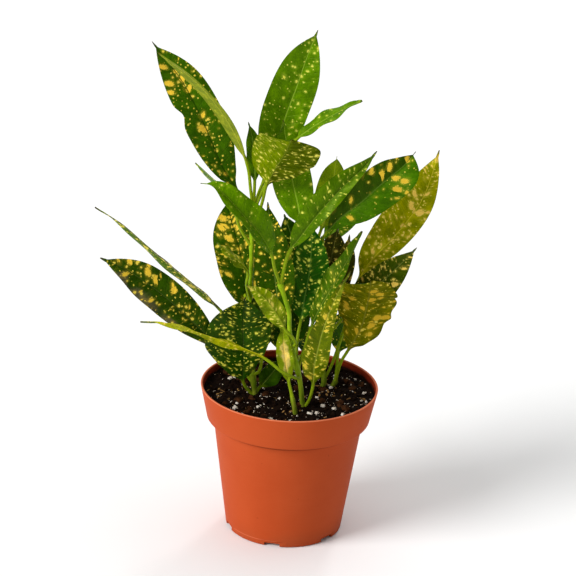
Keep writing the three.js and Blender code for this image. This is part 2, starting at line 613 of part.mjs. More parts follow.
// Materials
const terracotta = new THREE.MeshStandardMaterial({ color: 0xc4573a, roughness: 0.55, metalness: 0 });
const peat = new THREE.MeshStandardMaterial({ color: 0x1d120b, roughness: 0.95, metalness: 0 });
const darkLeaf = new THREE.MeshStandardMaterial({ color: 0x2f5a14, roughness: 0.4, metalness: 0 });
const brightLeaf = new THREE.MeshStandardMaterial({ color: 0x5c8f1a, roughness: 0.4, metalness: 0 });
const leafMaterials = {
  shoot_left: darkLeaf,
  shoot_front: brightLeaf,
  shoot_right: darkLeaf,
  sprout_front: brightLeaf,
  sprout_right: darkLeaf,
};

const croton = new THREE.Group();
croton.add(meshOf('pot', pot(), terracotta));
croton.add(meshOf('soil', soil(Object.values(shoots).map((stem) => stem.foot)), peat));
for (const [name, stem] of Object.entries(shoots)) croton.add(meshOf(name, shoot(stem), leafMaterials[name]));

export default croton;
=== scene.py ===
"""Looks of a potted croton: the pot, the soil's crust and crumbs, and the leafy shoots. Sizes here are
millimetres, and meshes are metres, with +Z up, +X to the right and +Y away from the viewer."""

import math

import bmesh
import bpy
from mathutils import Matrix, Vector, noise


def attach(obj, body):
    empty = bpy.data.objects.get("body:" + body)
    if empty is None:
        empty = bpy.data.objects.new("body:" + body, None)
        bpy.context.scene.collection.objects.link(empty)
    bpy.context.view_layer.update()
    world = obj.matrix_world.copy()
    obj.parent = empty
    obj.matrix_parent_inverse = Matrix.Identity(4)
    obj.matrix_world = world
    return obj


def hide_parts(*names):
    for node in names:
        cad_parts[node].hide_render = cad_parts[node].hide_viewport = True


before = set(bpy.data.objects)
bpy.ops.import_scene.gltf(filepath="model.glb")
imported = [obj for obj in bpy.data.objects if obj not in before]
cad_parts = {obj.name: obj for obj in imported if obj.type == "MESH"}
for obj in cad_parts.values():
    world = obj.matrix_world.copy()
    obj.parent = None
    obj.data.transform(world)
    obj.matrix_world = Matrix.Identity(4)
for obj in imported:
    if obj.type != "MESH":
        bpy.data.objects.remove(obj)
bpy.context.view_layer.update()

MM = 0.001

# The view that the plant's points are given in: from the front, a little above, and slightly rolled.
# Its width is what the picture takes in at the pot's axis.
VIEW_CENTRE = Vector((-3.6, 0, 156))
VIEW_DISTANCE = 1400
VIEW_PITCH = 21.5
VIEW_ROLL = 2.6
VIEW_WIDTH = 345.6
SENSOR = 36

# Pot
POT_HEIGHT = 93
RIM_RADIUS = 54.2
BAND_HEIGHT = 20.6
BAND_FOOT_RADIUS = 49.8
BAND_STEP = 3.9
BASE_RADIUS = 35.8
WALL = 1.3
BEVEL_HEIGHT = 6.3
BEVEL_OUT = 0.9
FLOOR = 1.6
FLAT_RADIUS = 25
CHANNEL_HEIGHT = 2.4
CHANNEL_SLOPE = 1.2
FOOT_WIDTH = 2.2
FOOT_SLOPE = 0.6
POT_SIDES = 160
NOTCHES = 6
FIRST_NOTCH_DEG = -10.5
NOTCH_WIDTH = 9.6
NOTCH_HEIGHT = 2
RECESS_WIDTH = 20
RECESS_HEIGHT = 3.6
RECESS_DEPTH = 0.5
DRAIN_RADIUS = 3
DRAIN_MARGIN = 1
DRAIN_SIDES = 28

# Soil
SOIL_BELOW_RIM = 5.7
SOIL_CROWN = 1.5
SOIL_LUMP = 0.7
GAP = 0.3
CRUST_SIDES = 180
CRUST_RINGS = 60
CRUST_DEPTH = 2.5
# Heights of the clods in the crust, and how far apart they are. Then at the pot's wall and further in: how
# far the crust lies above the plain soil, and how much of the clods' height it takes.
CLODS = ((1.3, 6.5), (0.8, 2.6), (0.35, 1.1))
CRUST_LIFT = (0.9, 0.35)
CRUST_CLODS = (0.6, 1.2)
CRUST_EDGE = 5

# Shoots and leaves
STEM_RADIUS = 1.35
FOOT_RADIUS = 1.75
FOOT_DEPTH = 14
STEM_SIDES = 18
STEM_STEP = 1.6
STALK_RADIUS = 0.95
STALK_STEP = 1.5
NODE_SWELL = 0.16
NODE_REACH = 2.4
STEM_END = 3.5
STALK_SWELL = 0.35
STALK_SWELL_REACH = 3
BLADE_STEPS = 84
BLADE_COLUMNS = 17
BLADE_OPENS = 0.12
FOLD_EASES = 0.35
TIP_THINS = 0.4
NICK_LENGTH = 0.05
BLADE_HALF = 0.3
EDGE_HALF = 0.16
RIB_KEEL = 0.5
RIB_GROOVE = 0.22
RIB_REACH = 0.9
TIP_STARTS = 0.965
TIP_ROOT = 0.75
TIP_END = 0.2
VEIN_STEP = 5.2
VEIN_SLOPE = 0.55
QUILT = 0.05
SAMPLES = 14
TANGENT_STEPS = 200

pitch = math.radians(VIEW_PITCH)
roll = math.radians(VIEW_ROLL)
ahead = Vector((0, math.cos(pitch), -math.sin(pitch)))
upright = Vector((0, math.sin(pitch), math.cos(pitch)))
level = Vector((1, 0, 0))
view_right = level * math.cos(roll) + upright * math.sin(roll)
view_up = upright * math.cos(roll) - level * math.sin(roll)
eye = VIEW_CENTRE - ahead * VIEW_DISTANCE


# Camera
def look_through_camera():
    lens = bpy.data.cameras.new("camera")
    lens.sensor_width = SENSOR
    lens.lens = SENSOR * VIEW_DISTANCE / VIEW_WIDTH
    lens.clip_end = 20
    camera = bpy.data.objects.new("camera", lens)
    bpy.context.scene.collection.objects.link(camera)
    turn = Matrix((view_right, view_up, -ahead)).transposed().to_4x4()
    camera.matrix_world = Matrix.Translation(eye * MM) @ turn
    bpy.context.scene.camera = camera


look_through_camera()


# Numbers
def mix(a, b, part):
    return a + (b - a) * part


def clamp(x):
    return min(max(x, 0.0), 1.0)


def smooth(x):
    x = clamp(x)
    return x * x * (3 - 2 * x)


def linear(red, green, blue):
    """A colour given from 0 to 255 as the eye sees it, as Blender's light values."""
    def one(c):
        c /= 255
        return c / 12.92 if c <= 0.04045 else ((c + 0.055) / 1.055) ** 2.4
    return (one(red), one(green), one(blue), 1.0)


# Measures that follow from the sizes
band_foot = POT_HEIGHT - BAND_HEIGHT
body_top = BAND_FOOT_RADIUS - BAND_STEP
floor_top = CHANNEL_HEIGHT + FLOOR
bevel_radius = BASE_RADIUS + BEVEL_OUT


def body_radius(z):
    return mix(bevel_radius, body_top, (z - BEVEL_HEIGHT) / (band_foot - BEVEL_HEIGHT))


def band_radius(z):
    return mix(BAND_FOOT_RADIUS, RIM_RADIUS, (z - band_foot) / BAND_HEIGHT)


soil_edge = POT_HEIGHT - SOIL_BELOW_RIM
soil_radius = band_radius(soil_edge) - WALL - GAP
BAND_SLOPE = (RIM_RADIUS - BAND_FOOT_RADIUS) / BAND_HEIGHT
INNER_TRACE = RIM_RADIUS - WALL - BAND_SLOPE * POT_HEIGHT


# Node trees
class Socket:
    """An output of a node. Maths on it adds Math nodes, and a name in brackets gives another output."""

    def __init__(self, maker, socket):
        self.maker = maker
        self.socket = socket

    def __getitem__(self, output):
        return Socket(self.maker, self.socket.node.outputs[output])

    def maths(self, operation, *others):
        return self.maker.maths(operation, self, *others)

    def at_least(self, other):
        return self.maths("MAXIMUM", other)

    def at_most(self, other):
        return self.maths("MINIMUM", other)

    def __add__(self, other):
        return self.maths("ADD", other)

    def __mul__(self, other):
        return self.maths("MULTIPLY", other)

    def __sub__(self, other):
        return self.maths("SUBTRACT", other)

    def __rsub__(self, other):
        return self.maker.maths("SUBTRACT", other, self)

    def __truediv__(self, other):
        return self.maths("DIVIDE", other)

    def __abs__(self):
        return self.maths("ABSOLUTE")

    def __gt__(self, other):
        return self.maths("GREATER_THAN", other)

    def __lt__(self, other):
        return self.maths("LESS_THAN", other)

    __radd__ = __add__
    __rmul__ = __mul__


class Maker:
    """Adds nodes to a tree. A tone is a socket, or red, green and blue up to 255, as the eye sees them."""

    def __init__(self, tree):
        self.tree = tree

    def node(self, kind, settings=None, inputs=None, output=0):
        made = self.tree.nodes.new(kind)
        for name, value in (settings or {}).items():
            setattr(made, name, value)
        for key, value in (inputs or {}).items():
            self.feed(made.inputs[key], value)
        if not made.outputs:
            return None
        return Socket(self, made.outputs[output])

    def feed(self, socket, value):
        if isinstance(value, Socket):
            self.tree.links.new(value.socket, socket)
        else:
            socket.default_value = value

    def maths(self, operation, *values):
        return self.node("ShaderNodeMath", {"operation": operation}, dict(enumerate(values)))

    def vectors(self, operation, inputs, output=0):
        return self.node("ShaderNodeVectorMath", {"operation": operation}, inputs, output)

    def split(self, vector):
        parts = self.node("ShaderNodeSeparateXYZ", inputs={0: vector})
        return parts, parts["Y"], parts["Z"]

    def join(self, x, y, z=0.0):
        return self.node("ShaderNodeCombineXYZ", inputs={0: x, 1: y, 2: z})

    def heightened(self, where, factor):
        """A place with its height multiplied."""
        return self.node("ShaderNodeMapping", inputs={0: where, 3: (1.0, 1.0, factor)})

    def step(self, value, low, high, end=1.0):
        """A soft step from 0 to end as the value goes from low to high."""
        ends = {"Value": value, "From Min": low, "From Max": high, "To Max": end}
        return self.node("ShaderNodeMapRange", {"interpolation_type": "SMOOTHSTEP"}, ends)

    def blend(self, part, a, b):
        a, b = (tone if isinstance(tone, Socket) else linear(*tone) for tone in (a, b))
        return self.node("ShaderNodeMix", {"data_type": "RGBA"}, {0: part, 6: a, 7: b}, 2)

    def times(self, tone, red, green, blue):
        """A tone with each of its colours multiplied."""
        kind = {"data_type": "RGBA", "blend_type": "MULTIPLY"}
        return self.node("ShaderNodeMix", kind, {0: 1.0, 6: tone, 7: (red, green, blue, 1.0)}, 2)

    def noise(self, where, scale, detail=2.0, roughness=0.5):
        inputs = {"Vector": where, "Scale": scale, "Detail": detail, "Roughness": roughness}
        return self.node("ShaderNodeTexNoise", inputs=inputs)

    def cells(self, where, randomness):
        """Round cells one unit apart: the distance from each middle, and a chance for each cell."""
        inputs = {"Vector": where, "Scale": 1.0, "Randomness": randomness}
        far = self.node("ShaderNodeTexVoronoi", {"voronoi_dimensions": "2D"}, inputs)
        return far, self.split(far["Color"])[0]


class Finish(Maker):
    """A material. Its settings stay on the shader, paint() adds to its colour, dress() links what varies."""

    def __init__(self, name, settings=None):
        self.material = bpy.data.materials.new(name)
        self.material.use_nodes = True
        super().__init__(self.material.node_tree)
        self.shader = self.tree.nodes["Principled BSDF"]
        self.colour = None
        for socket, value in (settings or {}).items():
            self.shader.inputs[socket].default_value = value

    def place(self):
        return self.node("ShaderNodeTexCoord", output="Object")

    def read(self, name, output="Vector"):
        return self.node("ShaderNodeAttribute", {"attribute_name": name}, output=output)

    def paint(self, part, tone):
        """Lays a tone over a part of the colour."""
        self.colour = self.blend(part, self.colour, tone)

    def dress(self, roughness, height, distance, strength=1.0):
        self.feed(self.shader.inputs["Base Color"], self.colour)
        self.feed(self.shader.inputs["Roughness"], roughness)
        inputs = {"Height": height, "Distance": distance, "Strength": strength}
        self.feed(self.shader.inputs["Normal"], self.node("ShaderNodeBump", inputs=inputs))
        return self.material


# Finishes
def leaf_finish(name, gloss):
    leaf = Finish(name, {"IOR": 1.33, "Specular IOR Level": gloss, "Specular Tint": (0.8, 0.95, 0.15, 1.0)})
    along, across, seed = leaf.split(leaf.read("blade"))
    part, wing, upper = leaf.split(leaf.read("place"))
    spots, dots, dashes = leaf.split(leaf.read("marks"))
    tone = leaf.read("tone", "Color")
    rib_light = leaf.read("tone", "Alpha")
    spot_tone = leaf.read("spot_tone", "Color")
    off_rib = abs(across)
    on_blade = leaf.step(along, -1.0, 5.0)

    # Side veins leave the rib at a slant, first on one side and then on the other.
    between = along - off_rib * VEIN_SLOPE
    vein_place = (between / VEIN_STEP + (across > 0) * 0.5).maths("PINGPONG", 0.5) * 2
    vein = leaf.step(vein_place, 0.2, 0.02) * leaf.step(off_rib, 0.0, 1.2) * on_blade
    rib_width = 0.85 - part * 0.55
    rib = leaf.step(off_rib / rib_width, 0.95, 0.35)

    # Marks lie in rows along the side veins. Each has a ragged outline and a pale ring.
    row_shift, reach_shift = seed * 71.0, seed * 13.0
    row = between + row_shift
    reach = across + reach_shift
    flat_place = leaf.join(row, reach)
    drift_x, drift_y, _ = leaf.split(leaf.noise(flat_place, 0.3)["Color"])
    row_drift = row + (drift_x - 0.5) * 2.4
    along_drift = along + row_shift + (drift_x - 0.5) * 1.2
    reach_drift = reach + (drift_y - 0.5) * 1.8
    much = leaf.step(leaf.noise(flat_place, 0.07, 1.0), 0.32, 0.68)
    ragged = leaf.noise(flat_place, 1.3) - 0.5

    def marks_of(amount, lengthwise, row_size, reach_size, largest, rag, soft):
        """Marks of one kind, and the rings around them."""
        far, chance = leaf.cells(leaf.join(lengthwise / row_size, reach_drift / reach_size), 0.85)
        over = (amount * (0.6 + much * 0.5) - chance) * 2.6
        size = over.at_least(0.0).at_most(1.0).maths("SQRT") * largest
        inward = size - far + ragged * size * rag
        ring = leaf.step(inward, -0.3, 0.05) * leaf.step(size, 0.02, 0.12)
        return leaf.step(inward, 0.0, soft), ring

    near_rib = 1.25 - wing * 0.5
    spot, spot_ring = marks_of(spots * near_rib * 0.5, row_drift, 6.2, 7.0, 0.42, 1.4, 0.1)
    streak, streak_ring = marks_of(spots * dashes * 0.6, row_drift, 2.9, 5.6, 0.39, 1.2, 0.1)
    dot, dot_ring = marks_of(dots * 0.45, along_drift, 3.9, 3.9, 0.31, 1.2, 0.1)
    speck, _ = marks_of(dots * 0.5, along_drift, 2.3, 2.3, 0.3, 0.5, 0.12)
    dash, dash_ring = marks_of(dashes * 0.42, row_drift, 1.8, 3.9, 0.34, 0.9, 0.12)
    large = spot.at_least(streak)
    small = (dot * 0.9).at_least(speck * 0.8).at_least(dash * 0.8)
    marked = large.at_least(small) * on_blade
    ring = spot_ring.at_least(streak_ring).at_least(dot_ring).at_least(dash_ring)

    cloud = leaf.noise(flat_place, 0.16, 3.0, 0.6)
    fine = leaf.noise(flat_place, 1.1, 3.0, 0.6)
    light_tone = leaf.times(tone, 2.0, 1.7, 1.3)
    deep_tone = leaf.times(tone, 0.45, 0.55, 0.4)
    leaf.colour = tone
    leaf.paint(leaf.step(cloud * 0.7 + fine * 0.3, 0.44, 0.7, 0.85), light_tone)
    leaf.paint(leaf.step(cloud * 0.5 + fine * 0.5, 0.5, 0.3, 0.85), deep_tone)
    leaf.paint(vein * (0.22 - upper * 0.19), leaf.blend(0.5, tone, (176, 196, 64)))
    leaf.paint(ring * on_blade * 0.45, leaf.blend(0.3, light_tone, spot_tone))
    pale_spot = leaf.blend(0.4, spot_tone, (224, 222, 96))
    deep_spot = leaf.blend(0.6, spot_tone, (190, 160, 30))
    small_spot = leaf.blend(leaf.step(fine, 0.3, 0.7, 0.5), spot_tone, deep_spot)
    leaf.paint(marked, leaf.blend(large, pale_spot, small_spot))
    pale_rib = leaf.blend(0.14, leaf.times(tone, 2.6, 2.0, 1.6), (206, 216, 120))
    leaf.paint(rib * 0.75 * on_blade, leaf.blend(rib_light, deep_tone, pale_rib))
    leaf.paint(leaf.step(wing, 0.95, 1.0, 0.3) * on_blade, leaf.blend(0.5, tone, (80, 74, 10)))
    leaf.paint(leaf.step(part + ragged * 0.03, TIP_STARTS, 1.0, 0.85), (64, 50, 22))
    stalk_cloud = leaf.noise(leaf.join(along, across, seed), 0.5)
    leaf.paint(1 - on_blade, leaf.blend(stalk_cloud, (106, 136, 8), (150, 168, 26)))

    roughness = 0.5 - upper * 0.2 + (fine - 0.5) * 0.16 + marked * 0.05
    relief = (upper - 0.5) * (vein * -0.6 + rib * -1.6) + (fine + cloud) * 0.5
    return leaf.dress(roughness, relief, 0.0003)


def stem_finish():
    stem = Finish("croton_stem", {"Specular IOR Level": 0.3, "Specular Tint": (0.85, 0.95, 0.35, 1.0)})
    where = stem.place()
    height = stem.split(where)[2] / MM
    grain = stem.noise(stem.heightened(where, 0.25), 900.0, 4.0)
    cloud = stem.noise(where, 160.0, 3.0)
    old = stem.blend(stem.step(grain, 0.4, 0.65), (78, 98, 10), (118, 122, 34))
    stem.colour = stem.blend(stem.step(cloud, 0.35, 0.7), (128, 168, 8), (160, 190, 22))
    stem.paint(stem.step(height, 118.0, 84.0), old)
    return stem.dress(0.36 + grain * 0.2, grain, 0.0002)


def pot_finish():
    pot = Finish("pot_moulded_plastic", {"Specular IOR Level": 0.05, "Specular Tint": (1.0, 0.8, 0.65, 1.0)})
    where = pot.place()
    x, y, height = (part / MM for part in pot.split(where))
    radius = (x * x + y * y).maths("SQRT")
    cloud = pot.noise(where, 26.0, 3.0)
    grain = pot.noise(where, 1500.0, 3.0)
    flow = pot.noise(pot.heightened(where, 6.0), 90.0, 3.0)
    pot.colour = pot.blend(pot.step(cloud, 0.3, 0.7), (178, 72, 33), (183, 77, 37))
    pot.paint(pot.step(flow, 0.45, 0.7, 0.08), (186, 84, 46))
    dust = pot.step(height, 14.0, 0.0, 0.35) * pot.step(cloud, 0.3, 0.6)
    pot.paint(dust, (150, 76, 46))
    specks = pot.step(pot.noise(where, 420.0, 1.0), 0.74, 0.82, 0.3)
    pot.paint(specks, (124, 50, 26))

    # Painted shade darkens the wall inside the pot, most of all low down, where wet soil also stains it near
    # the soil.
    inside = pot.step(radius - height * BAND_SLOPE, INNER_TRACE + 0.9, INNER_TRACE + 0.4)
    inside = inside * pot.step(height, soil_edge - 6, soil_edge - 4)
    shade_and_stain_top = pot.step(abs(x), 15.0, 40.0, 2.0) + (soil_edge + 4.5)
    above_soil = pot.step(height, shade_and_stain_top, soil_edge - 1)
    ragged_shade_and_stain = pot.step(above_soil + (flow - 0.5) * 0.8, 0.2, 0.8)
    pot.paint(inside, pot.blend(ragged_shade_and_stain, (146, 44, 20), (34, 16, 8)))

    # Painted shade in a dark line under the band, a painted highlight along the lip, and a painted highlight
    # on the edge of the front recess.
    painted_shade_under_band = pot.step(height, band_foot - 3.2, band_foot - 1.4, 0.7)
    pot.paint(painted_shade_under_band * pot.step(radius, body_top + 1.2, body_top), (90, 30, 12))
    # Painted highlight: a pale line along the top of the rim, where light catches the rounded lip.
    pot.paint(pot.step(height, POT_HEIGHT - 0.75, POT_HEIGHT - 0.35, 0.6), (236, 138, 100))
    # Painted highlight: a pale line on the top edge of the recess, only on the lit front left.
    recess_edge_highlight = pot.step(abs(height - RECESS_HEIGHT), 0.35, 0.1, 0.5)
    pot.paint(recess_edge_highlight * pot.step(abs(x + 17), 14.0, 12.0) * (y < 0), (228, 130, 92))
    return pot.dress(0.5 + cloud * 0.1 + specks * 0.2 + inside * 0.2, grain * 0.5 + flow * 0.2, 0.00012)


def soil_finish(name, dark, light, scale):
    soil = Finish(name, {"Specular IOR Level": 0.04})
    where = soil.place()
    coarse = soil.noise(where, scale, 5.0, 0.65)
    fine = soil.noise(where, scale * 6, 4.0, 0.7)
    soil.colour = soil.blend(soil.step(coarse * 0.6 + fine * 0.4, 0.36, 0.66), dark, light)
    return soil.dress(0.92 - fine * 0.1, coarse * 0.6 + fine * 0.5, 0.0006)


def floor_finish():
    floor = Finish("floor_paper")
    cloud = floor.noise(floor.place(), 2.0, 3.0)
    floor.colour = floor.blend(cloud, (246, 246, 245), (250, 250, 250))
    return floor.dress(0.85 + cloud * 0.05, cloud, 0.0001, 0.1)


# Meshes
def piece_of(name, points, faces, finishes, slots=None):
    mesh = bpy.data.meshes.new(name)
    mesh.from_pydata([tuple(p * MM) for p in points], [], faces)
    for finish in finishes:
        mesh.materials.append(finish)
    if slots:
        mesh.polygons.foreach_set("material_index", slots)
    piece = bpy.data.objects.new(name, mesh)
    bpy.context.scene.collection.objects.link(piece)
    return piece


def outward(piece, crease_deg=40):
    """Turns every face outwards and smooths all but the sharp edges."""
    work = bmesh.new()
    work.from_mesh(piece.data)
    bmesh.ops.recalc_face_normals(work, faces=work.faces)
    work.to_mesh(piece.data)
    work.free()
    piece.data.shade_smooth()
    piece.data.set_sharp_from_angle(angle=math.radians(crease_deg))


def plain(piece):
    """Applies the modifiers of a piece."""
    evaluated = piece.evaluated_get(bpy.context.evaluated_depsgraph_get())
    mesh = bpy.data.meshes.new_from_object(evaluated)
    piece.modifiers.clear()
    piece.data = mesh
    mesh.name = piece.name


# Pot
def rounded(corners, steps=4):
    """A profile of (radius, height, rounding) corners with each corner rounded."""
    profile = []
    for i, (r, z, rounding) in enumerate(corners):
        here = Vector((r, z))
        if not rounding:
            profile.append(here)
            continue
        before = (Vector(corners[i - 1][:2]) - here).normalized() * rounding
        after = (Vector(corners[i + 1][:2]) - here).normalized() * rounding
        for j in range(steps + 1):
            t = j / steps
            profile.append(here + before * (1 - t) ** 2 + after * t ** 2)
    return profile


def pot_profile():
    foot_inner = BASE_RADIUS - FOOT_WIDTH
    shelf = band_foot + WALL
    return rounded([
        (0, 0, 0),
        (FLAT_RADIUS, 0, 0.4),
        (FLAT_RADIUS + CHANNEL_SLOPE, CHANNEL_HEIGHT, 0.4),
        (foot_inner - FOOT_SLOPE, CHANNEL_HEIGHT, 0.4),
        (foot_inner, 0, 0.3),
        (BASE_RADIUS, 0, 0.7),
        (bevel_radius, BEVEL_HEIGHT, 1.2),
        (body_top, band_foot, 0.3),
        (BAND_FOOT_RADIUS, band_foot, 0.5),
        (RIM_RADIUS, POT_HEIGHT, 0.6),
        (RIM_RADIUS - WALL, POT_HEIGHT, 0.6),
        (band_radius(shelf) - WALL, shelf, 0.5),
        (body_top - WALL, shelf, 0.5),
        (body_radius(floor_top) - WALL, floor_top, 0.8),
        (0, floor_top, 0),
    ])


def revolved(profile, sides):
    """Points and faces of a closed profile turned about the pot's axis. Its ends lie on the axis."""
    points = [Vector((0, 0, profile[0].y)), Vector((0, 0, profile[-1].y))]
    inner = profile[1:-1]
    for r, z in inner:
        for j in range(sides):
            angle = 2 * math.pi * j / sides
            points.append(Vector((r * math.cos(angle), r * math.sin(angle), z)))
    faces = []
    last = 2 + (len(inner) - 1) * sides
    for j in range(sides):
        after = (j + 1) % sides
        faces.append((0, 2 + after, 2 + j))
        faces.append((1, last + j, last + after))
        for i in range(len(inner) - 1):
            low = 2 + i * sides
            faces.append((low + j, low + after, low + sides + after, low + sides + j))
    return points, faces


def cut(piece, points, faces):
    """Takes a shape out of a piece."""
    tool = piece_of("cutter", points, faces, [])
    outward(tool)
    modifier = piece.modifiers.new("cut", "BOOLEAN")
    modifier.operation = "DIFFERENCE"
    modifier.solver = "EXACT"
    modifier.object = tool
    plain(piece)
    bpy.data.objects.remove(tool)


def block(width, deep, high, radius, turn):
    """A box across a place on the pot's edge, as far below the ground as above it."""
    spin = Matrix.Rotation(turn, 3, "Z")
    points = []
    for z in (-high, high):
        for x, y in ((-1, -1), (1, -1), (1, 1), (-1, 1)):
            points.append(spin @ Vector((x * width / 2, y * deep / 2 - radius, z)))
    return points, [(3, 2, 1, 0), (4, 5, 6, 7), (0, 1, 5, 4), (1, 2, 6, 5), (2, 3, 7, 6), (3, 0, 4, 7)]


def joined(shapes):
    points, faces = [], []
    for more_points, more_faces in shapes:
        faces.extend(tuple(i + len(points) for i in face) for face in more_faces)
        points.extend(more_points)
    return points, faces


def make_pot(finish):
    pot = piece_of("pot_shell", *revolved(pot_profile(), POT_SIDES), [finish])
    outward(pot)
    turns = [math.radians(FIRST_NOTCH_DEG + i * 360 / NOTCHES) for i in range(NOTCHES)]
    skin = BASE_RADIUS - RECESS_DEPTH + FOOT_WIDTH
    cut(pot, *joined(block(NOTCH_WIDTH, FOOT_WIDTH * 3, NOTCH_HEIGHT, BASE_RADIUS, t) for t in turns))
    cut(pot, *joined(block(RECESS_WIDTH, FOOT_WIDTH * 2, RECESS_HEIGHT, skin, t) for t in turns))
    drain_place = (FLAT_RADIUS + BASE_RADIUS - FOOT_WIDTH) / 2
    below, above = DRAIN_MARGIN, floor_top + DRAIN_MARGIN
    corners = ((0, below), (DRAIN_RADIUS, below), (DRAIN_RADIUS, above), (0, above))
    points, faces = revolved([Vector(corner) for corner in corners], DRAIN_SIDES)
    middles = [Vector((math.sin(t) * drain_place, -math.cos(t) * drain_place, 0)) for t in turns]
    cut(pot, *joined(([p + middle for p in points], faces) for middle in middles))
    outward(pot, crease_deg=32)
    return pot


# Soil
def soil_top(x, y):
    crown = SOIL_CROWN * (1 - (x * x + y * y) / soil_radius ** 2)
    lumps = math.sin(x * 0.23 + 1) * math.cos(y * 0.27) + 0.6 * math.sin((x + y) * 0.41)
    return soil_edge + crown + SOIL_LUMP * lumps


def rough_soil(x, y):
    """The soil's top with its clods and pits."""
    where = Vector((x, y, 0))
    clods = sum(height * noise.noise(where / apart) for height, apart in CLODS)
    inward = smooth((soil_radius - where.length) / CRUST_EDGE)
    return soil_top(x, y) + mix(*CRUST_LIFT, inward) + clods * mix(*CRUST_CLODS, inward)


def make_crust(finish):
    """A closed skin of rough soil over the plain body of soil."""
    def underside(x, y):
        return soil_top(x, y) - CRUST_DEPTH

    points = [Vector((0, 0, height(0, 0))) for height in (rough_soil, underside)]
    for height in (rough_soil, underside):
        for i in range(1, CRUST_RINGS + 1):
            for j in range(CRUST_SIDES):
                radius = soil_radius * i / CRUST_RINGS
                angle = 2 * math.pi * j / CRUST_SIDES
                x, y = radius * math.cos(angle), radius * math.sin(angle)
                points.append(Vector((x, y, height(x, y))))
    faces = []
    under = CRUST_RINGS * CRUST_SIDES
    for j in range(CRUST_SIDES):
        after = (j + 1) % CRUST_SIDES
        faces.append((0, 2 + j, 2 + after))
        faces.append((1, 2 + under + after, 2 + under + j))
        for i in range(CRUST_RINGS - 1):
            a = 2 + i * CRUST_SIDES
            faces.append((a + j, a + CRUST_SIDES + j, a + CRUST_SIDES + after, a + after))
            b = a + under
            faces.append((b + j, b + after, b + CRUST_SIDES + after, b + CRUST_SIDES + j))
        rim = 2 + under - CRUST_SIDES
        faces.append((rim + after, rim + j, rim + under + j, rim + under + after))
    crust = piece_of("soil_crust", points, faces, [finish])
    outward(crust, crease_deg=60)
    return crust


# Crumbs for each square metre, sizes in metres, and the scale of what makes them lumpy. Drifts tells how
# bare the ground is between heaps, and Reach how far out the crumbs go.
CRUMB = {
    "Density": 1000.0,
    "Smallest": 0.001,
    "Largest": 0.002,
    "Flatness": 0.7,
    "Length": 1.2,
    "Lumps": 0.0004,
    "Lump size": 900.0,
    "Drifts": 0.0,
    "Reach": 0.05,
}


def crumb_tree():
    """Crumbs strewn over the upward faces of a mesh: pebbles of random size and turn, each made lumpy."""
    tree = bpy.data.node_groups.new("crumbs", "GeometryNodeTree")
    named = {}

    def ask_for(name, kind, value=None):
        socket = tree.interface.new_socket(name=name, in_out="INPUT", socket_type="NodeSocket" + kind)
        if value is not None:
            socket.default_value = value
        named[name] = socket.identifier

    ask_for("Ground", "Geometry")
    for name, value in CRUMB.items():
        ask_for(name, "Float", value)
    ask_for("Seed", "Int", 1)
    ask_for("Finish", "Material")
    tree.interface.new_socket(name="Crumbs", in_out="OUTPUT", socket_type="NodeSocketGeometry")

    maker = Maker(tree)
    given = maker.node("NodeGroupInput")
    seed = given["Seed"]
    upward = maker.split(maker.node("GeometryNodeInputNormal"))[2] > 0.3
    spread = maker.node("GeometryNodeInputPosition")
    out = maker.vectors("LENGTH", {0: maker.vectors("MULTIPLY", {0: spread, 1: (1.0, 1.0, 0.0)})}, 1)
    drift = maker.step(maker.noise(spread, 110.0), 0.44, 0.6)
    strewn = maker.node("GeometryNodeDistributePointsOnFaces", inputs={
        "Mesh": given, "Selection": upward * (given["Reach"] > out), "Seed": seed,
        "Density": given["Density"] * (1 - given["Drifts"] * (1 - drift))})
    pebble = maker.node("GeometryNodeMeshUVSphere", inputs={"Segments": 8, "Rings": 6, "Radius": 0.5})
    size = maker.node("FunctionNodeRandomValue", {"data_type": "FLOAT"}, {
        2: given["Smallest"], 3: given["Largest"], "Seed": seed}, 1)
    turn = maker.node("FunctionNodeRandomValue", {"data_type": "FLOAT_VECTOR"}, {
        0: (-0.5, -0.5, 0.0), 1: (0.5, 0.5, 6.28), "Seed": seed})
    scale = maker.join(size * given["Length"], size, size * given["Flatness"])
    placed = maker.node("GeometryNodeInstanceOnPoints", inputs={
        "Points": strewn, "Instance": pebble, "Rotation": turn, "Scale": scale})
    real = maker.node("GeometryNodeRealizeInstances", inputs={0: placed})
    lump = maker.noise(maker.node("GeometryNodeInputPosition"), given["Lump size"], 1.0)["Color"]
    middle = maker.vectors("SUBTRACT", {0: lump, 1: (0.5, 0.5, 0.5)})
    shift = maker.vectors("SCALE", {0: middle, "Scale": given["Lumps"]})
    lumpy = maker.node("GeometryNodeSetPosition", inputs={"Geometry": real, "Offset": shift})
    shaded = maker.node("GeometryNodeSetShadeSmooth", inputs={"Geometry": lumpy, "Shade Smooth": True})
    dressed = maker.node("GeometryNodeSetMaterial", inputs={"Geometry": shaded, "Material": given["Finish"]})
    maker.node("NodeGroupOutput", inputs={0: dressed})
    return tree, named


def strew(name, ground, tree, named, finish, margin, sizes):
    """Strews one kind of crumb on the ground, up to a margin from the pot's wall."""
    crumbs = bpy.data.objects.new(name, ground.data.copy())
    bpy.context.scene.collection.objects.link(crumbs)
    modifier = crumbs.modifiers.new("crumbs", "NODES")
    modifier.node_group = tree
    reach = (soil_radius - margin) * MM
    for key, value in dict(sizes, Reach=reach, Finish=finish).items():
        modifier[named[key.replace("_", " ")]] = value
    plain(crumbs)
    return crumbs


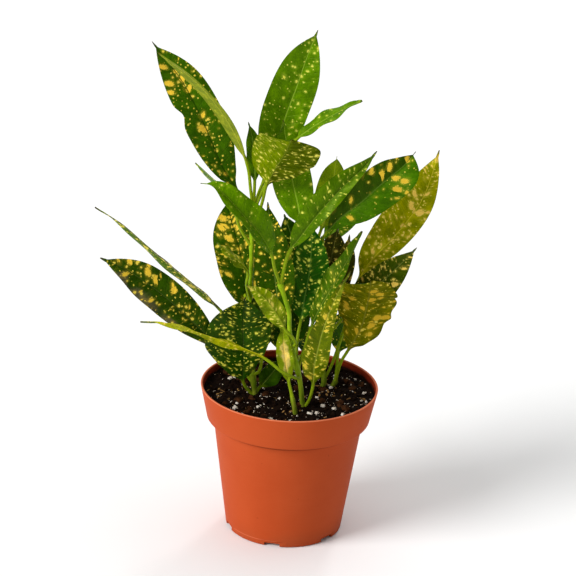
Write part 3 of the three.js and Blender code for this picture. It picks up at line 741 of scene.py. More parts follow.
# Paths
class Path:
    """A smooth path through points, walked by distance."""

    def __init__(self, points):
        self.points = []
        ends = [points[0] * 2 - points[1], *points, points[-1] * 2 - points[-2]]
        for i in range(len(points) - 1):
            self.points.extend(self.span(ends[i:i + 4]))
        self.points.append(points[-1])
        self.far = [0.0]
        for a, b in zip(self.points, self.points[1:]):
            self.far.append(self.far[-1] + (b - a).length)
        self.length = self.far[-1]
        self.reached = 0

    def span(self, four):
        p0, p1, p2, p3 = four
        d0, d1, d2 = ((b - a).length ** 0.5 for a, b in zip(four, four[1:]))
        leave = ((p1 - p0) / d0 - (p2 - p0) / (d0 + d1) + (p2 - p1) / d1) * d1
        arrive = ((p2 - p1) / d1 - (p3 - p1) / (d1 + d2) + (p3 - p2) / d2) * d1
        for i in range(SAMPLES):
            t = i / SAMPLES
            bend = p1 * -3 + p2 * 3 - leave * 2 - arrive
            twist = p1 * 2 - p2 * 2 + leave + arrive
            yield p1 + leave * t + bend * t ** 2 + twist * t ** 3

    def at(self, distance):
        i = self.reached if self.far[self.reached] <= distance else 0
        while i < len(self.far) - 2 and self.far[i + 1] < distance:
            i += 1
        self.reached = i
        part = (distance - self.far[i]) / (self.far[i + 1] - self.far[i])
        return self.points[i].lerp(self.points[i + 1], part)

    def along(self, distance):
        step = self.length / TANGENT_STEPS
        behind = self.at(max(distance - step, 0))
        return (self.at(min(distance + step, self.length)) - behind).normalized()


def seen(point):
    """A point given as right and up of the view's centre, and its depth behind the pot's axis."""
    right, up, depth = point
    ray = VIEW_CENTRE + view_right * right + view_up * up - eye
    return eye + ray * ((depth - eye.y) / ray.y)


def blade_axes(point, along, turn_deg):
    """Across the blade, and out of its upper face. At no turn it faces the viewer."""
    to_eye = (eye - point).normalized()
    out = (to_eye - along * to_eye.dot(along)).normalized()
    across = along.cross(out)
    turn = math.radians(turn_deg)
    return across * math.cos(turn) + out * math.sin(turn), out * math.cos(turn) - across * math.sin(turn)


# What each kind of leaf looks like: its upper face, its lower face, its spots, and how much of the blade is
# taken by large spots, by small dots and by dashes along its side veins.
LOOKS = {
    "spotted": ((38, 72, 0), (100, 112, 6), (250, 206, 62), (0.7, 0.8, 0.2)),
    "dotted": ((22, 58, 0), (92, 106, 6), (224, 214, 64), (0.25, 1.0, 0.35)),
    "deep": ((13, 76, 2), (92, 106, 6), (246, 250, 92), (0.3, 1.0, 0.6)),
    "brown": ((50, 52, 10), (80, 80, 10), (220, 180, 84), (0.5, 1.0, 0.5)),
    "fresh": ((78, 119, 0), (112, 140, 4), (226, 222, 84), (0.0, 0.75, 0.1)),
    "lime": ((116, 130, 34), (116, 140, 6), (200, 190, 60), (0.0, 0.15, 0.0)),
    "green": ((66, 106, 0), (104, 124, 6), (232, 214, 76), (0.2, 0.8, 0.6)),
    "olive": ((60, 86, 2), (100, 122, 0), (232, 216, 92), (0.0, 0.6, 1.0)),
    "peach": ((62, 84, 2), (134, 140, 0), (255, 216, 100), (0.55, 1.0, 0.7)),
    "bronze": ((50, 70, 2), (84, 88, 0), (214, 174, 44), (1.2, 0.8, 0.4)),
    "gilded": ((76, 92, 0), (108, 118, 4), (228, 200, 62), (0.6, 0.7, 0.85)),
    "cream": ((108, 128, 6), (120, 130, 10), (236, 214, 128), (1.8, 0.6, 0.2)),
}
DRY_TONE = linear(82, 77, 56)
PATCH_TONE = linear(224, 196, 108)

# The slots of a shoot's finishes.
GLOSSY, STEM, MATT = range(3)


class Leaf:
    """A leaf. It has these traits where its own line names no others. It springs from the stem at its node,
    a height in the view. Its stalk runs to the rib's first point, where the blade begins. Half is half the
    blade's width. A pair in half, widest, base, tip or halves gives the left and the right side of the blade,
    as its upper face shows them with the tip up, and a side is -1 for the left or 1 for the right."""

    fold = 12  # degrees that each side of the blade is folded up
    turn = (0, 0)  # at the base and the tip, in degrees: 0 shows the upper face, 180 the lower, 90 the edge
    widest = 0.46  # the part of the length where the blade is widest
    base = 2.2  # how full the outline is before that
    tip = 2.1  # how full it is after that
    blunt = False  # whether it ends without the usual thin tip
    ripple = (2.5, 0.9)  # waves along the edge, and their height
    scallop = None  # small waves in one side's outline: how many and how deep
    nick = None  # a bite out of one side: where and how deep
    marks = None  # spots, dots and dashes, in place of the look's
    tip_marks = None  # the same at the tip, where it has others there
    # How bright each side is comes partly from the leaf's own tint and partly from painted shade or painted
    # light on the side turned from or toward the light.
    side_tint_and_shade = (1, 1)  # how bright each side is
    rib_light = 1  # how light the midrib is
    spot_light = 1  # how bright the spots are
    shift = 0  # moves the pattern of the marks
    patch = None  # from where to where a pale patch lies along the rib
    dry_side = 0  # the side with a dry edge
    matt = False  # whether its finish is matt, not glossy

    def __init__(self, look, node, half, stalk, rib, **traits):
        vars(self).update(traits, look=look, node=node, half=half, stalk=stalk, rib=rib)


class BackLeaf(Leaf):
    """A leaf on the far side or deep inside the plant."""

    ripple = (2, 0.5)
    matt = True


class Shoot:
    """A stem and its leaves. Its points are as seen from the front, and its foot is a place in the soil."""

    def __init__(self, slot, foot, leaves, points, tip_radius=STEM_RADIUS):
        self.slot = slot
        self.foot = foot
        self.leaves = leaves
        self.points = points
        self.tip_radius = tip_radius

    def joint(self, leaf):
        """The point of the stem, as seen from the front, that a leaf springs from."""
        i = 1
        while i < len(self.points) - 1 and self.points[i][1] < leaf.node:
            i += 1
        below, above = self.points[i - 1:i + 1]
        part = (leaf.node - below[1]) / (above[1] - below[1])
        return [mix(a, b, part) for a, b in zip(below, above)]


class Foliage:
    """The mesh of one shoot while it is made, with what its finishes read at each point."""

    def __init__(self):
        self.points = []
        self.faces = []
        self.slots = []
        self.read = {"blade": [], "place": [], "marks": [], "tone": [], "spot_tone": []}

    def add_body(self, rings, slot):
        """Joins rings of (point, values) into one closed body."""
        first = len(self.points)
        ring = len(rings[0])
        for row in rings:
            for point, values in row:
                self.points.append(point)
                for name, value in values.items():
                    self.read[name].append(value)
        made = []
        for i in range(len(rings) - 1):
            for j in range(ring):
                after = (j + 1) % ring
                a, b = i * ring + j, i * ring + after
                made.append((a, b, b + ring, a + ring))
        last = (len(rings) - 1) * ring
        for j in range(ring // 2 - 1):
            under = ring - 1 - j
            made.append((j, j + 1, under - 1, under))
            made.append((last + j, last + under, last + under - 1, last + j + 1))
        self.faces.extend(tuple(first + i for i in face) for face in made)
        self.slots.extend([slot] * len(made))

    def piece(self, name, finishes):
        piece = piece_of(name, self.points, self.faces, finishes, self.slots)
        for key, values in self.read.items():
            colour = key.endswith("tone")
            kind, field = ("FLOAT_COLOR", "color") if colour else ("FLOAT_VECTOR", "vector")
            layer = piece.data.attributes.new(key, kind, "POINT")
            layer.data.foreach_set(field, [number for value in values for number in value])
        outward(piece, crease_deg=55)
        return piece


def one_side(value, side):
    """A leaf's value, or where its two sides differ, the value on this side."""
    return value[0 if side < 0 else 1] if isinstance(value, tuple) else value


def tinted(tone, strength, rib_light):
    """A tone made brighter or darker. Its fourth value tells how light the midrib is."""
    return (*(strength * c for c in tone[:3]), rib_light)


def toward(tone, other, amount):
    return (*(mix(a, b, amount) for a, b in zip(tone[:3], other)), tone[3])


def half_width(leaf, part, side):
    """Half the blade's width at a part of its length, on one side. The outline curves in from the widest
    place to both ends, and runs out in a thin tip."""
    widest = one_side(leaf.widest, side)
    body = part / TIP_STARTS
    if body < widest:
        outline = 1 - ((widest - body) / widest) ** one_side(leaf.base, side)
    else:
        outline = 1 - min((body - widest) / (1 - widest), 1) ** one_side(leaf.tip, side)
    width = one_side(leaf.half, side) * outline
    scallop, nick = leaf.scallop, leaf.nick
    if scallop and scallop["side"] * side > 0:
        width *= 1 - scallop["depth"] * (1 + math.sin(2 * math.pi * scallop["waves"] * part))
    if nick and nick["side"] * side > 0:
        width *= 1 - nick["depth"] * math.exp(-(((part - nick["at"]) / NICK_LENGTH) ** 2))
    thin_tip = TIP_END if leaf.blunt else mix(TIP_END, TIP_ROOT, clamp((1 - part) / (1 - TIP_STARTS)))
    return max(width, thin_tip if part > 0.5 else 0)


def blade_tone(leaf, tone, part, v, point):
    """The tone of one face without its marks, at a part of the length and v from -1 to 1 across the blade."""
    # Each side's brightness is partly the leaf's own tint and partly painted shade or painted light.
    tone = tinted(tone, mix(*leaf.side_tint_and_shade, smooth(v * 8 + 0.5)), leaf.rib_light)
    if leaf.dry_side * v > 0:
        tone = toward(tone, DRY_TONE, 0.8 * smooth((abs(v) - 0.6 + 0.9 * noise.noise(point / 9)) / 0.3))
    if leaf.patch:
        first, last = leaf.patch
        middling = smooth((part - first) / 0.12) * smooth((last - part) / 0.12)
        near = smooth((0.45 - abs(v) + 0.6 * noise.noise(point / 4)) / 0.25)
        tone = toward(tone, PATCH_TONE, 0.7 * middling * near)
    return tone


def grow_leaf(foliage, leaf, shoot, seed):
    """One leaf: a round stalk that runs out into a folded, rippled blade."""
    fold = math.radians(leaf.fold)
    waves, wave_height = leaf.ripple
    *tones, marks = LOOKS[leaf.look]
    upper_tone, lower_tone, spot_tone = (linear(*tone) for tone in tones)
    spot_tone = tinted(spot_tone, leaf.spot_light, 1)
    marks = leaf.marks or marks
    tip_marks = leaf.tip_marks or marks
    path = Path([seen(p) for p in (shoot.joint(leaf), *leaf.stalk, *leaf.rib)])
    base = path.far[SAMPLES * (len(leaf.stalk) + 1)]
    blade_length = path.length - base
    columns = [-1 + 2 * j / (BLADE_COLUMNS - 1) for j in range(BLADE_COLUMNS)]
    places = [(v, 1) for v in columns] + [(v, -1) for v in reversed(columns)]

    def ring_at(distance):
        """Once round the leaf. The waves and veins of its right side come later than those of its left."""
        part = clamp((distance - base) / blade_length)
        flat = smooth(part / BLADE_OPENS)
        middle = path.at(distance)
        across, out = blade_axes(middle, path.along(distance), mix(*leaf.turn, part))
        stalk = STALK_RADIUS * (1 + STALK_SWELL * math.exp(-((distance / STALK_SWELL_REACH) ** 2)))
        ring = []
        for v, face in places:
            wide = max(half_width(leaf, part, v), 0 if part > 0.5 else stalk)
            later = 0.5 if v > 0 else 0
            bend = fold * (1 - FOLD_EASES * abs(v))
            wave = wave_height * v * v * math.sin(2 * math.pi * (waves * part + 0.6 * later))
            thick = mix(BLADE_HALF, EDGE_HALF, v * v) * (1 - TIP_THINS * part)
            rib = math.exp(-((v * wide / RIB_REACH) ** 2)) * (1 - 0.8 * part)
            keel = (RIB_KEEL if face < 0 else -RIB_GROOVE) * rib
            slant = (distance - base - abs(v) * wide * VEIN_SLOPE) / VEIN_STEP + later
            quilt = QUILT * math.cos(2 * math.pi * slant) * smooth(abs(v) * 3) * (1 - v * v)
            angle = v * (math.pi / 2) * (1 - 1 / BLADE_COLUMNS)
            side = mix(stalk * math.sin(angle), v * wide * math.cos(bend), flat)
            lift = abs(v) * wide * math.sin(bend) + wave - quilt + face * (thick + keel)
            height = mix(face * stalk * math.cos(angle), lift, flat)
            point = middle + across * side + out * height
            ring.append((point, {
                "blade": (distance - base, v * wide, seed),
                "place": (part, abs(v), 1.0 if face > 0 else 0.0),
                "marks": [mix(a, b, part) for a, b in zip(marks, tip_marks)],
                "tone": blade_tone(leaf, upper_tone if face > 0 else lower_tone, part, v, point),
                "spot_tone": spot_tone,
            }))
        return ring

    stalk_steps = max(4, round(base / STALK_STEP))
    distances = [base * i / stalk_steps for i in range(stalk_steps)]
    for i in range(BLADE_STEPS + 1):
        even = i / BLADE_STEPS
        part = mix(even, (1 - math.cos(math.pi * even)) / 2, 0.45)
        distances.append(base + blade_length * part)
    foliage.add_body([ring_at(distance) for distance in distances], MATT if leaf.matt else GLOSSY)


def grow_stem(foliage, shoot):
    x, y = shoot.foot
    low = Vector((x, y, soil_edge - FOOT_DEPTH))
    ground = Vector((x, y, soil_edge + SOIL_CROWN))
    path = Path([low, ground, *(seen(p) for p in shoot.points)])
    joints = [seen(shoot.joint(leaf)) for leaf in shoot.leaves]
    values = {key: (0, 0, 0, 1) if key.endswith("tone") else (0, 0, 0) for key in foliage.read}
    steps = round(path.length / STEM_STEP)
    rings = []
    for i in range(steps + 1):
        distance = path.length * i / steps
        middle = path.at(distance)
        thick = mix(FOOT_RADIUS, shoot.tip_radius, smooth(min(distance / (FOOT_DEPTH * 3), 1)))
        swells = [math.exp(-(((middle - joint).length / NODE_REACH) ** 2)) for joint in joints]
        thick *= 1 + NODE_SWELL * sum(swells)
        thick *= mix(1, 0.35, smooth(1 - (path.length - distance) / STEM_END))
        across, out = blade_axes(middle, path.along(distance), 0)
        ring = []
        for j in range(STEM_SIDES):
            angle = math.pi - 2 * math.pi * (j + 0.5) / STEM_SIDES
            round_out = across * math.cos(angle) + out * math.sin(angle)
            ring.append((middle + round_out * thick, values))
        rings.append(ring)
    foliage.add_body(rings, STEM)


# The leaves of each shoot: the look, the node, half the width, the stalk and the rib, and then the leaf's
# own traits. Points are as seen from the front: right and up of the view's centre, and the depth behind
# the pot's axis.
LEFT_LEAVES = [
    # tall dark leaf at the upper left
    Leaf("spotted", 31, (12.8, 13.4), [(-24, 43, -5)],
         [(-30, 57.6, -3), (-38.7, 71.5, -1), (-49.2, 95.8, 2), (-62.6, 122.5, 6), (-81.6, 148, 9)],
         fold=18, turn=(-14, -8), widest=(0.56, 0.46), tip=2.6, nick=dict(side=-1, at=0.54, depth=0.24),
         marks=(1.0, 0.9, 0.1), side_tint_and_shade=(1.4, 1.4), rib_light=0, shift=0.87),
    # edge-on leaf before it
    Leaf("lime", 44, 8.4, [(-22.4, 58.8, -12)],
         [(-24.6, 74.4, -15), (-36, 99.6, -18), (-54.6, 123, -18), (-78, 141, -14)],
         turn=(68, 72), ripple=(1.5, 0.4), matt=True),
    # small upright leaf at the top
    Leaf("green", 49, 5, [(-20.3, 56, -6)],
         [(-20, 63, -5), (-20.4, 76.8, -3), (-21.3, 88.8, -1), (-23.7, 99.6, 1)],
         fold=10, turn=(-20, -20), marks=(0, 0.1, 0.1)),
    # topmost bright leaf
    Leaf("fresh", 48, (14.8, 12.4), [(-16.4, 60, -7)],
         [(-11.4, 70, -2), (-6.4, 88, 5), (-0.8, 105, 8), (5.6, 122, 11), (11.4, 138.6, 12),
          (18, 154.8, 13)],
         widest=0.52, base=3, tip=2.7, marks=(0.15, 0.75, 0.1), side_tint_and_shade=(0.88, 1)),
    # broad leaf that leans to the viewer and shows its lower face
    Leaf("olive", 37, (18.5, 19), [(-16.5, 48, -9), (-14.4, 55.8, -12)],
         [(-13.3, 60.6, -14), (-9.8, 67.4, -18), (-6, 73.8, -25), (-2.4, 79.6, -34), (0.4, 84.6, -45),
          (2.1, 89.4, -56)],
         fold=3, turn=(178, 178), widest=(0.8, 0.58), base=(2, 2.8), tip=(4, 3.3), blunt=True,
         side_tint_and_shade=(0.42, 1), rib_light=0.35, matt=True),
    # narrow leaf at the top right
    Leaf("fresh", 46, 6.2, [(-12, 64.8, -12), (-3.6, 78, -14)],
         [(4.8, 88.8, -12), (13, 95.2, -9), (23, 101.4, -6), (34, 107.6, -3), (44.4, 112.8, 0)],
         fold=14, turn=(50, 60)),
    # dark edge-on leaf under the tall ones
    Leaf("green", 25, 5.2, [(-28.8, 36, -10)],
         [(-32.7, 48, -12), (-40.8, 61, -13), (-48, 68, -13), (-55.8, 75, -12)],
         turn=(70, 76), ripple=(1.5, 0.3)),
    # small narrow leaf at mid height
    Leaf("green", -8, 4.6, [(-24.9, 1.8, -12)],
         [(-24.3, 9.6, -14), (-32.4, 18.6, -17), (-42.6, 27, -19)],
         fold=10, turn=(125, 125)),
    # tall spotted leaf behind the stem
    Leaf("spotted", -27, 15.2, [(-22.8, -20.4, -3)],
         [(-24.6, -14.4, 1), (-25.8, 1.8, 5), (-28.4, 20.4, 9), (-32.4, 35, 13), (-37.4, 52.8, 20)],
         turn=(-8, 4), widest=0.52, base=2.4, tip=2.9, marks=(0.7, 1.0, 0.5), tip_marks=(0.78, 0.9, 0.9),
         rib_light=0, shift=0.6),
    # long edge-on leaf out to the left
    Leaf("olive", -33, 7.6, [(-30, -24, -4)],
         [(-40.2, -13.8, -1), (-50, -4, -1), (-60, 4.5, -2), (-84.6, 25, -4), (-99, 37.6, -6),
          (-115.8, 48.6, -8)],
         fold=16, turn=(72, 84), widest=0.36, ripple=(3, 0.5), marks=(1.1, 0.8, 0.5), side_tint_and_shade=(1.5, 1),
         dry_side=1, matt=True),
    # broad low leaf in front of the stem
    Leaf("dotted", -64.4, (23, 17), [(-23.4, -61.6, -8.4)],
         [(-26.6, -57, -10.5), (-26.9, -45, -14.5), (-27, -31, -18), (-27, -20, -21), (-26.6, -12, -25),
          (-25.6, -5.6, -31)],
         fold=14, turn=(4, -4), widest=(0.48, 0.6), base=1.5, tip=2.4, marks=(0.3, 0.9, 0.9),
         rib_light=0.15),
    # long dark leaf low on the left
    Leaf("spotted", -57, 11.4, [(-29.5, -47, -4)],
         [(-39.6, -36.5, -6), (-52.8, -24.6, -9), (-64.8, -13.2, -11), (-76.8, -3, -12), (-88.8, 5.8, -13),
          (-100.8, 12.8, -14), (-112.8, 18, -14)],
         turn=(8, -14), widest=0.56, tip=2.4, ripple=(4, 1.1), marks=(0.9, 0.8, 0.3), side_tint_and_shade=(0.7, 0.72),
         rib_light=0.3, spot_light=0.88, shift=0.3, dry_side=-1),
    # dark leaf to the right of the stem's foot
    Leaf("spotted", -63.5, 6.5, [(-19, -62, -6)],
         [(-17.2, -59.6, -5), (-13.4, -55.4, -4), (-9.6, -51, -3), (-5.8, -46.6, -2), (-2, -43.4, -1)],
         fold=14, turn=(-20, -10), marks=(0.1, 0.2, 0.1), side_tint_and_shade=(1.2, 1.2)),
    # second low leaf, on a hooked stalk
    Leaf("dotted", -52, 9.5, [(-17.6, -50.4, -9), (-15.9, -44.4, -11)],
         [(-15.4, -37.2, -10.6), (-15.4, -28.2, -11), (-16, -18, -12), (-17.6, -9, -12.6),
          (-19.6, -1, -12)],
         turn=(-12, 0), marks=(0.4, 0.9, 0.4)),
    # leaves at the back
    BackLeaf("dotted", -12, 11, [(-26, -4, 4)],
             [(-28, 1, 12), (-30, 9, 26), (-31, 15, 42), (-31, 18, 60), (-31, 17, 76)],
             turn=(-15, 10)),
    BackLeaf("dotted", -36, 10, [(-20, -31, 4)],
             [(-19, -27, 12), (-18, -20, 26), (-16, -15, 42), (-14, -14, 58), (-12, -18, 72)],
             turn=(12, -8)),
    BackLeaf("spotted", -55, 10.5, [(-25, -48, 2)],
             [(-27, -43, 8), (-31, -34, 20), (-35, -27, 34), (-39, -24, 48), (-43, -27, 60)],
             turn=(-10, 10)),
    BackLeaf("green", 43, 9.5, [(-17.5, 56, -2), (-15.5, 62, 6)],
             [(-13.6, 68, 13), (-10, 76, 25), (-6, 82, 38), (-2, 84, 52), (2, 82, 66)],
             turn=(-10, 0)),
]

FRONT_LEAVES = [
    # folded bright leaf to the left
    Leaf("fresh", 2, 11, [(-8.1, 12, -26)],
         [(-9.6, 19.2, -28), (-14.4, 28.8, -31), (-20.6, 37, -33), (-27.2, 44, -34), (-34, 51.5, -34),
          (-44, 61, -32), (-52.5, 63, -31)],
         fold=40, turn=(-43, -41), widest=0.42, base=2.6, marks=(0, 0.45, 0.15), side_tint_and_shade=(1.12, 1.12)),
    # folded bright leaf to the right
    Leaf("fresh", 2.4, (10, 6.2), [(-3, 9, -24), (-1.5, 15.6, -26)],
         [(0.6, 21.6, -27), (7.8, 31.2, -29), (15.6, 41.4, -30), (26.2, 53.4, -30), (35.4, 63, -28),
          (46.2, 73, -25), (53.4, 82.2, -22)],
         fold=36, turn=(6, 6), marks=(0, 0.5, 0.75), side_tint_and_shade=(0.7, 0.7), rib_light=0.7),
    # tall green leaf in the middle
    Leaf("fresh", 1, 11.8, [(-1.2, 15.6, -19), (3.6, 27, -16)],
         [(6.6, 36, -13), (6.6, 45.6, -11), (3.6, 60, -8), (0.6, 75, -5), (-1.2, 88.6, -3), (-3, 101, -2)],
         fold=10, turn=(10, 0), base=2.4, marks=(0.0, 0.6, 0.0)),
    # dark leaf between the stems
    Leaf("spotted", -33, 12, [(-1.6, -29, -18)],
         [(-4.2, -24, -16), (-6, -9, -14), (-8, 7, -12), (-9.6, 24, -11), (-11, 39, -9),
          (-12.2, 51.6, -6)],
         turn=(-6, 6), marks=(0.6, 1.0, 0.3), spot_light=1.35),
    # dark leaf with pale dots, right of the stem
    Leaf("deep", -46, 12, [(5.2, -37.8, -18), (6, -28, -13.5)],
         [(7.4, -21, -10.5), (10.4, -4, -7.5), (12.8, 9, -5), (13.8, 20, -3), (14.4, 30, -1),
          (14.4, 38.4, 1)],
         turn=(4, 0), tip=2.5),
    # bright leaf that rises to the right, its right half edge-on
    Leaf("green", -49, (8.4, 7), [(9.6, -37.2, -19.5)],
         [(13.8, -24, -17), (19.2, -12, -16), (25.2, -1.8, -15.5), (31.8, 9.6, -15), (37.2, 19.2, -14),
          (40.8, 27, -13.5), (44.1, 34.2, -13)],
         fold=28, turn=(48, 50), marks=(0.2, 0.6, 0.9), side_tint_and_shade=(0.7, 0.7)),
    # olive leaf across the stem
    Leaf("olive", -35, 6.2, [(4.6, -33.6, -27), (2.6, -29.4, -31.5)],
         [(-1.4, -25.4, -34), (-4.8, -19.2, -35.5), (-10.2, -10.8, -37), (-16.8, -3.6, -38),
          (-25.2, 1.8, -38)],
         turn=(176, 170), marks=(0.6, 0.6, 0.9), side_tint_and_shade=(1.05, 1.05), rib_light=0.6),
    # long narrow leaf low to the left, edge-on
    Leaf("peach", -54, 4.6, [(3.6, -53.8, -32), (-4, -50, -37)],
         [(-12.9, -43, -37.5), (-25.2, -37.2, -39), (-39.6, -32.1, -41), (-53.4, -27.3, -42),
          (-66.6, -23, -42), (-78, -20.4, -42), (-88.5, -20.8, -41)],
         fold=14, turn=(112, 106), widest=0.4, marks=(0.2, 0.7, 1.0), side_tint_and_shade=(1.3, 1.3)),
    # spotted leaf at the front right, rising from the foot
    Leaf("gilded", -72, 8, [(12, -68.5, -23)],
         [(15, -58.8, -27), (15.6, -48, -31), (18, -36.6, -34), (21, -25.2, -36), (25.2, -13.8, -36),
          (30.6, -1.8, -35), (37.8, 10.2, -33)],
         fold=14, turn=(8, -6), widest=0.3, tip=1.4, spot_light=0.85),
    # dark leaf low behind the stem
    Leaf("dotted", -50, 9.5, [(1.6, -45, -17)],
         [(-1, -40, -12), (-3.2, -31, -7), (-5, -21, -4), (-6.6, -10, -2), (-7.6, 2, 1)],
         turn=(-4, 4), marks=(0.5, 0.7, 0.3)),
    Leaf("dotted", -44, 11, [(5, -40, -17)],
         [(4.4, -36, -10), (3.4, -26, -5), (2.2, -14, -1), (0.6, -1, 3), (-1, 12, 6)],
         turn=(-4, 4), marks=(0.1, 0.7, 0.3)),
    # leaf at the back
    BackLeaf("dotted", -47, 9, [(6, -42, -12)],
             [(9, -40, -4), (11, -35, 7), (12, -31, 18), (12, -30, 30), (11, -32, 42)],
             turn=(0, 10)),
]

RIGHT_LEAVES = [
    # glossy dark leaf to the upper right
    Leaf("spotted", 28, (11.8, 14.4), [(21, 30, 2.5)],
         [(22.6, 32.6, 1), (30.6, 41.4, 0), (43.2, 51, -2), (53.8, 60.4, -3), (61.2, 66.6, -3),
          (69, 73, -2), (76.8, 81.9, 2)],
         fold=14, turn=(-6, 4), widest=(0.58, 0.7), base=1.9, tip=(2.4, 3.6), blunt=True,
         marks=(0.6, 0.4, 0), tip_marks=(0.95, 0.5, 0), side_tint_and_shade=(0.76, 1.9), rib_light=0.5, spot_light=0.76,
         shift=0.6),
    # long olive leaf that reaches furthest right
    Leaf("peach", -55, (9, 15.4), [(25.8, -47, 9), (32.4, -28.2, 12), (37.8, -10.2, 13)],
         [(42, 4.2, 13), (50.4, 16.8, 12), (61.2, 28, 11), (72.6, 41.4, 10), (80.4, 53, 9), (86.4, 68, 8),
          (90.8, 82.8, 7)],
         fold=10, turn=(180, 184), widest=0.5, marks=(0.1, 1, 0.7), tip_marks=(1.3, 0.9, 0.5), matt=True),
    # dark spotted leaf under it
    Leaf("peach", -33, 11, [(25.2, -27, 5)],
         [(33, -18, 4), (43.2, -8.4, 3), (55.2, 2.6, 3), (66.6, 13.4, 3), (77.4, 24.2, 3)],
         turn=(0, -10), tip=1.9, marks=(0.6, 1, 0.7), side_tint_and_shade=(0.7, 0.7)),
    # olive leaf at the top of the stem
    Leaf("fresh", 27, 9, [(18.4, 30, 7)],
         [(19.5, 34, 9), (22.8, 43.8, 10), (25.2, 55.8, 10), (27.6, 67.8, 9), (29.4, 79.2, 8)],
         fold=10, turn=(178, 176), tip=2.8, blunt=True, marks=(0.0, 0.2, 0.1)),
    # dark leaf behind the stem
    Leaf("brown", -14, 11, [(20.4, -10, 10)],
         [(21, -6, 14), (23.6, 7.8, 16), (27, 22.8, 18), (30, 36, 21)],
         fold=10, tip=2.4, marks=(0.3, 1.0, 0.3)),
    # dark leaf crossing behind the middle
    Leaf("dotted", -8, 9, [(15, 2, 9)],
         [(10.6, 9, 11), (5.6, 22, 13), (1.4, 33.4, 14), (-2.4, 44.4, 16)],
         fold=10),
    # leaves at the back
    BackLeaf("spotted", -22, 10.5, [(21.4, -17, 13)],
             [(22, -12, 20), (24, -4, 34), (26, 2, 50), (28, 3, 66), (30, 0, 80)],
             turn=(10, -8)),
    BackLeaf("dotted", 3, 9.5, [(17, 8, 10)],
             [(14.4, 11, 18), (10, 18, 31), (6, 24, 45), (3, 26, 60), (1, 24, 73)],
             turn=(-12, 6)),
    BackLeaf("green", 15, 8, [(21.5, 20.5, 13)],
             [(22.6, 25, 20), (28, 35, 33), (36, 44.6, 46), (45, 53, 58), (54, 59, 68)],
             turn=(8, -6)),
    # dark brownish leaf low behind the middle
    BackLeaf("brown", -30, 8.5, [(22, -24, 3)],
             [(23, -18, 2), (26, -6, 1), (30, 7, 1), (35, 19, 0), (37, 32, 0)]),
]

FRONT_SPROUT_LEAVES = [
    # slender yellow-green leaf in front of the stems
    Leaf("cream", -67, 5, [(1.4, -60.4, -29.6)],
         [(0.6, -57, -29), (-0.6, -49.2, -27.6), (-2, -40.2, -26.2), (-2.8, -31.2, -25),
          (-3.3, -22.4, -24)],
         fold=10, turn=(6, -4), tip=2.6, marks=(0.9, 0.6, 0.2), side_tint_and_shade=(1.1, 1.1), rib_light=0.55,
         spot_light=0.85, patch=(0.16, 0.78)),
]

RIGHT_SPROUT_LEAVES = [
    # broad waved leaf at the right, its lower face to the viewer
    Leaf("bronze", -56, (17, 18.5), [(31.8, -44.4, 3)],
         [(35.4, -38.4, 0), (40.2, -30.6, -4), (44.4, -22.4, -8), (47.1, -12, -13), (48.4, -6, -20),
          (49.2, -0.4, -29), (49.6, 4.4, -38)],
         fold=0, turn=(180, 178), widest=0.62, base=1.7, tip=6, blunt=True, ripple=(3.5, 1.5),
         scallop=dict(side=-1, waves=6, depth=0.05), rib_light=0.5, spot_light=0.8, matt=True),
    # leaf at the back
    BackLeaf("spotted", -55, 10, [(29.4, -46, 12)],
             [(30, -40, 18), (32, -31, 30), (35, -24, 43), (38, -22, 56), (41, -26, 68)],
             turn=(0, 8)),
]

SHOOTS = {
    "shoot_left": Shoot("leaf_dark", (-21, -7), LEFT_LEAVES, [
        (-20.6, -58, -7), (-21.1, -50.4, -7), (-21.9, -31.2, -8), (-22.6, -4.8, -9), (-21.9, 16.8, -9),
        (-21.9, 28.8, -8), (-21, 39.6, -7), (-20.4, 50, -7)]),
    "shoot_front": Shoot("leaf_bright", (8.5, -22), FRONT_LEAVES, [
        (8.3, -66, -22), (7.6, -58.8, -22), (5.8, -49.2, -22), (3, -37.8, -22), (0.9, -25.2, -22),
        (0.6, -15, -22), (-1.8, -6.6, -22), (-4.2, 0.6, -22), (-5.4, 5, -22)]),
    "shoot_right": Shoot("leaf_dark", (20, 7), RIGHT_LEAVES, [
        (21.5, -57, 7), (21, -48, 7), (20, -31, 6), (19.4, -10, 6), (19.2, 7, 5), (19.4, 20, 5),
        (20.4, 31, 4)]),
    "sprout_front": Shoot("leaf_bright", (4, -32), FRONT_SPROUT_LEAVES, [
        (3, -68, -31.5), (2.2, -63, -30.5)], tip_radius=0.9),
    "sprout_right": Shoot("leaf_dark", (26, 9), RIGHT_SPROUT_LEAVES, [
        (28, -57, 8), (29.2, -53.4, 7)], tip_radius=1),
}


def grow(name, shoot, seed, finishes):
    foliage = Foliage()
    grow_stem(foliage, shoot)
    for i, leaf in enumerate(shoot.leaves):
        grow_leaf(foliage, leaf, shoot, seed + i + leaf.shift)
    return foliage.piece(name + "_leaves", finishes)


# Pieces
pot = make_pot(pot_finish())
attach(pot, "root")
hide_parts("pot")

peat = soil_finish("peat", (4, 1, 0), (28, 15, 7), 420.0)
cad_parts["soil"].data.materials.clear()
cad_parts["soil"].data.materials.append(peat)
crust = make_crust(peat)

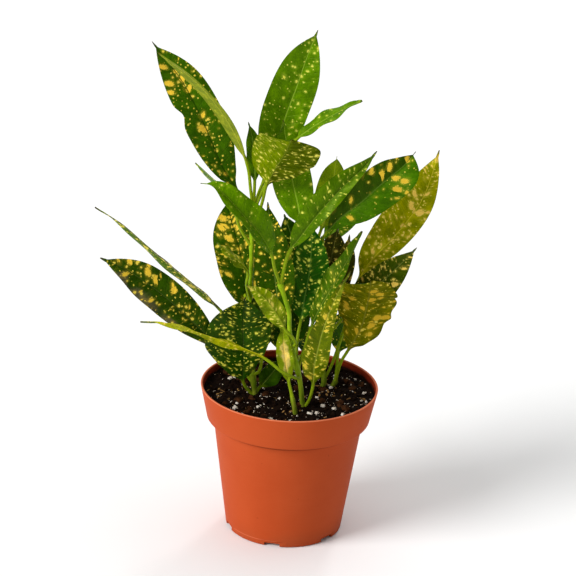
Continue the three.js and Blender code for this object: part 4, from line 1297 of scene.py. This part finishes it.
# Each kind of crumb has its finish, its margin from the wall, and what differs from CRUMB.
STREWN = {
    "peat_clods": (soil_finish("peat_clods", (4, 1, 0), (34, 19, 9), 700.0), 1.5, dict(
        Density=60000.0, Smallest=0.001, Largest=0.0032, Seed=3)),
    "peat_lumps": (soil_finish("peat_lumps", (10, 4, 1), (78, 45, 22), 500.0), 4, dict(
        Density=4600.0, Smallest=0.0035, Largest=0.0066, Flatness=0.65, Lumps=0.0024, Lump_size=420.0,
        Seed=21)),
    "perlite_grains": (soil_finish("perlite", (190, 172, 150), (250, 244, 234), 900.0), 2.5, dict(
        Density=26000.0, Smallest=0.0007, Largest=0.0028, Flatness=0.75, Lumps=0.0024, Drifts=0.93, Seed=5)),
    "perlite_dust": (soil_finish("perlite_dust", (180, 156, 130), (236, 226, 210), 1600.0), 1, dict(
        Density=110000.0, Smallest=0.0003, Largest=0.0009, Flatness=0.8, Length=1.3, Drifts=0.75, Seed=8)),
    "bark_bits": (soil_finish("bark", (84, 54, 24), (172, 132, 78), 600.0), 1.5, dict(
        Density=26000.0, Smallest=0.0005, Largest=0.0017, Flatness=0.5, Length=2.4, Lumps=0.0012,
        Lump_size=600.0, Drifts=0.6, Seed=13)),
}
tree, named = crumb_tree()
strewn = [strew(name, crust, tree, named, *kind) for name, kind in STREWN.items()]
for piece in (crust, *strewn):
    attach(piece, "root")

SEEDS_APART = 20
glossy = leaf_finish("croton_leaf", gloss=0.36)
matt = leaf_finish("croton_leaf_matt", gloss=0.03)
finishes = [glossy, stem_finish(), matt]
for order, (name, shoot) in enumerate(SHOOTS.items()):
    leaves = grow(name, shoot, SEEDS_APART * order + 1, finishes)
    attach(leaves, "root")
    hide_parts(name)


# Stage and light
def make_floor():
    wide = 30000
    under = -0.3
    corners = [Vector((x, y, under)) for x, y in ((-wide, -wide), (wide, -wide), (wide, wide), (-wide, wide))]
    floor = piece_of("floor", corners, [(0, 1, 2, 3)], [floor_finish()])


def lamp(name, towards, softness_deg, strength):
    """A distant soft light. towards points from the plant to the light."""
    light = bpy.data.lights.new(name, "SUN")
    light.angle = math.radians(softness_deg)
    light.energy = strength * math.pi
    source = bpy.data.objects.new(name, light)
    bpy.context.scene.collection.objects.link(source)
    source.matrix_world = Vector(towards).to_track_quat("Z", "Y").to_matrix().to_4x4()


make_floor()
lamp("key", (-0.78, -0.46, 0.55), 30, 0.96)
lamp("top", (0.1, 0.3, 1), 60, 0.26)
lamp("gloss", (0.25, 0.8, 0.75), 9, 0.12)
world = bpy.data.worlds.new("studio")
world.use_nodes = True
backdrop = world.node_tree.nodes["Background"]
backdrop.inputs["Color"].default_value = (1, 1, 1, 1)
backdrop.inputs["Strength"].default_value = 0.32
bpy.context.scene.world = world
bpy.context.scene.view_settings.view_transform = "Standard"
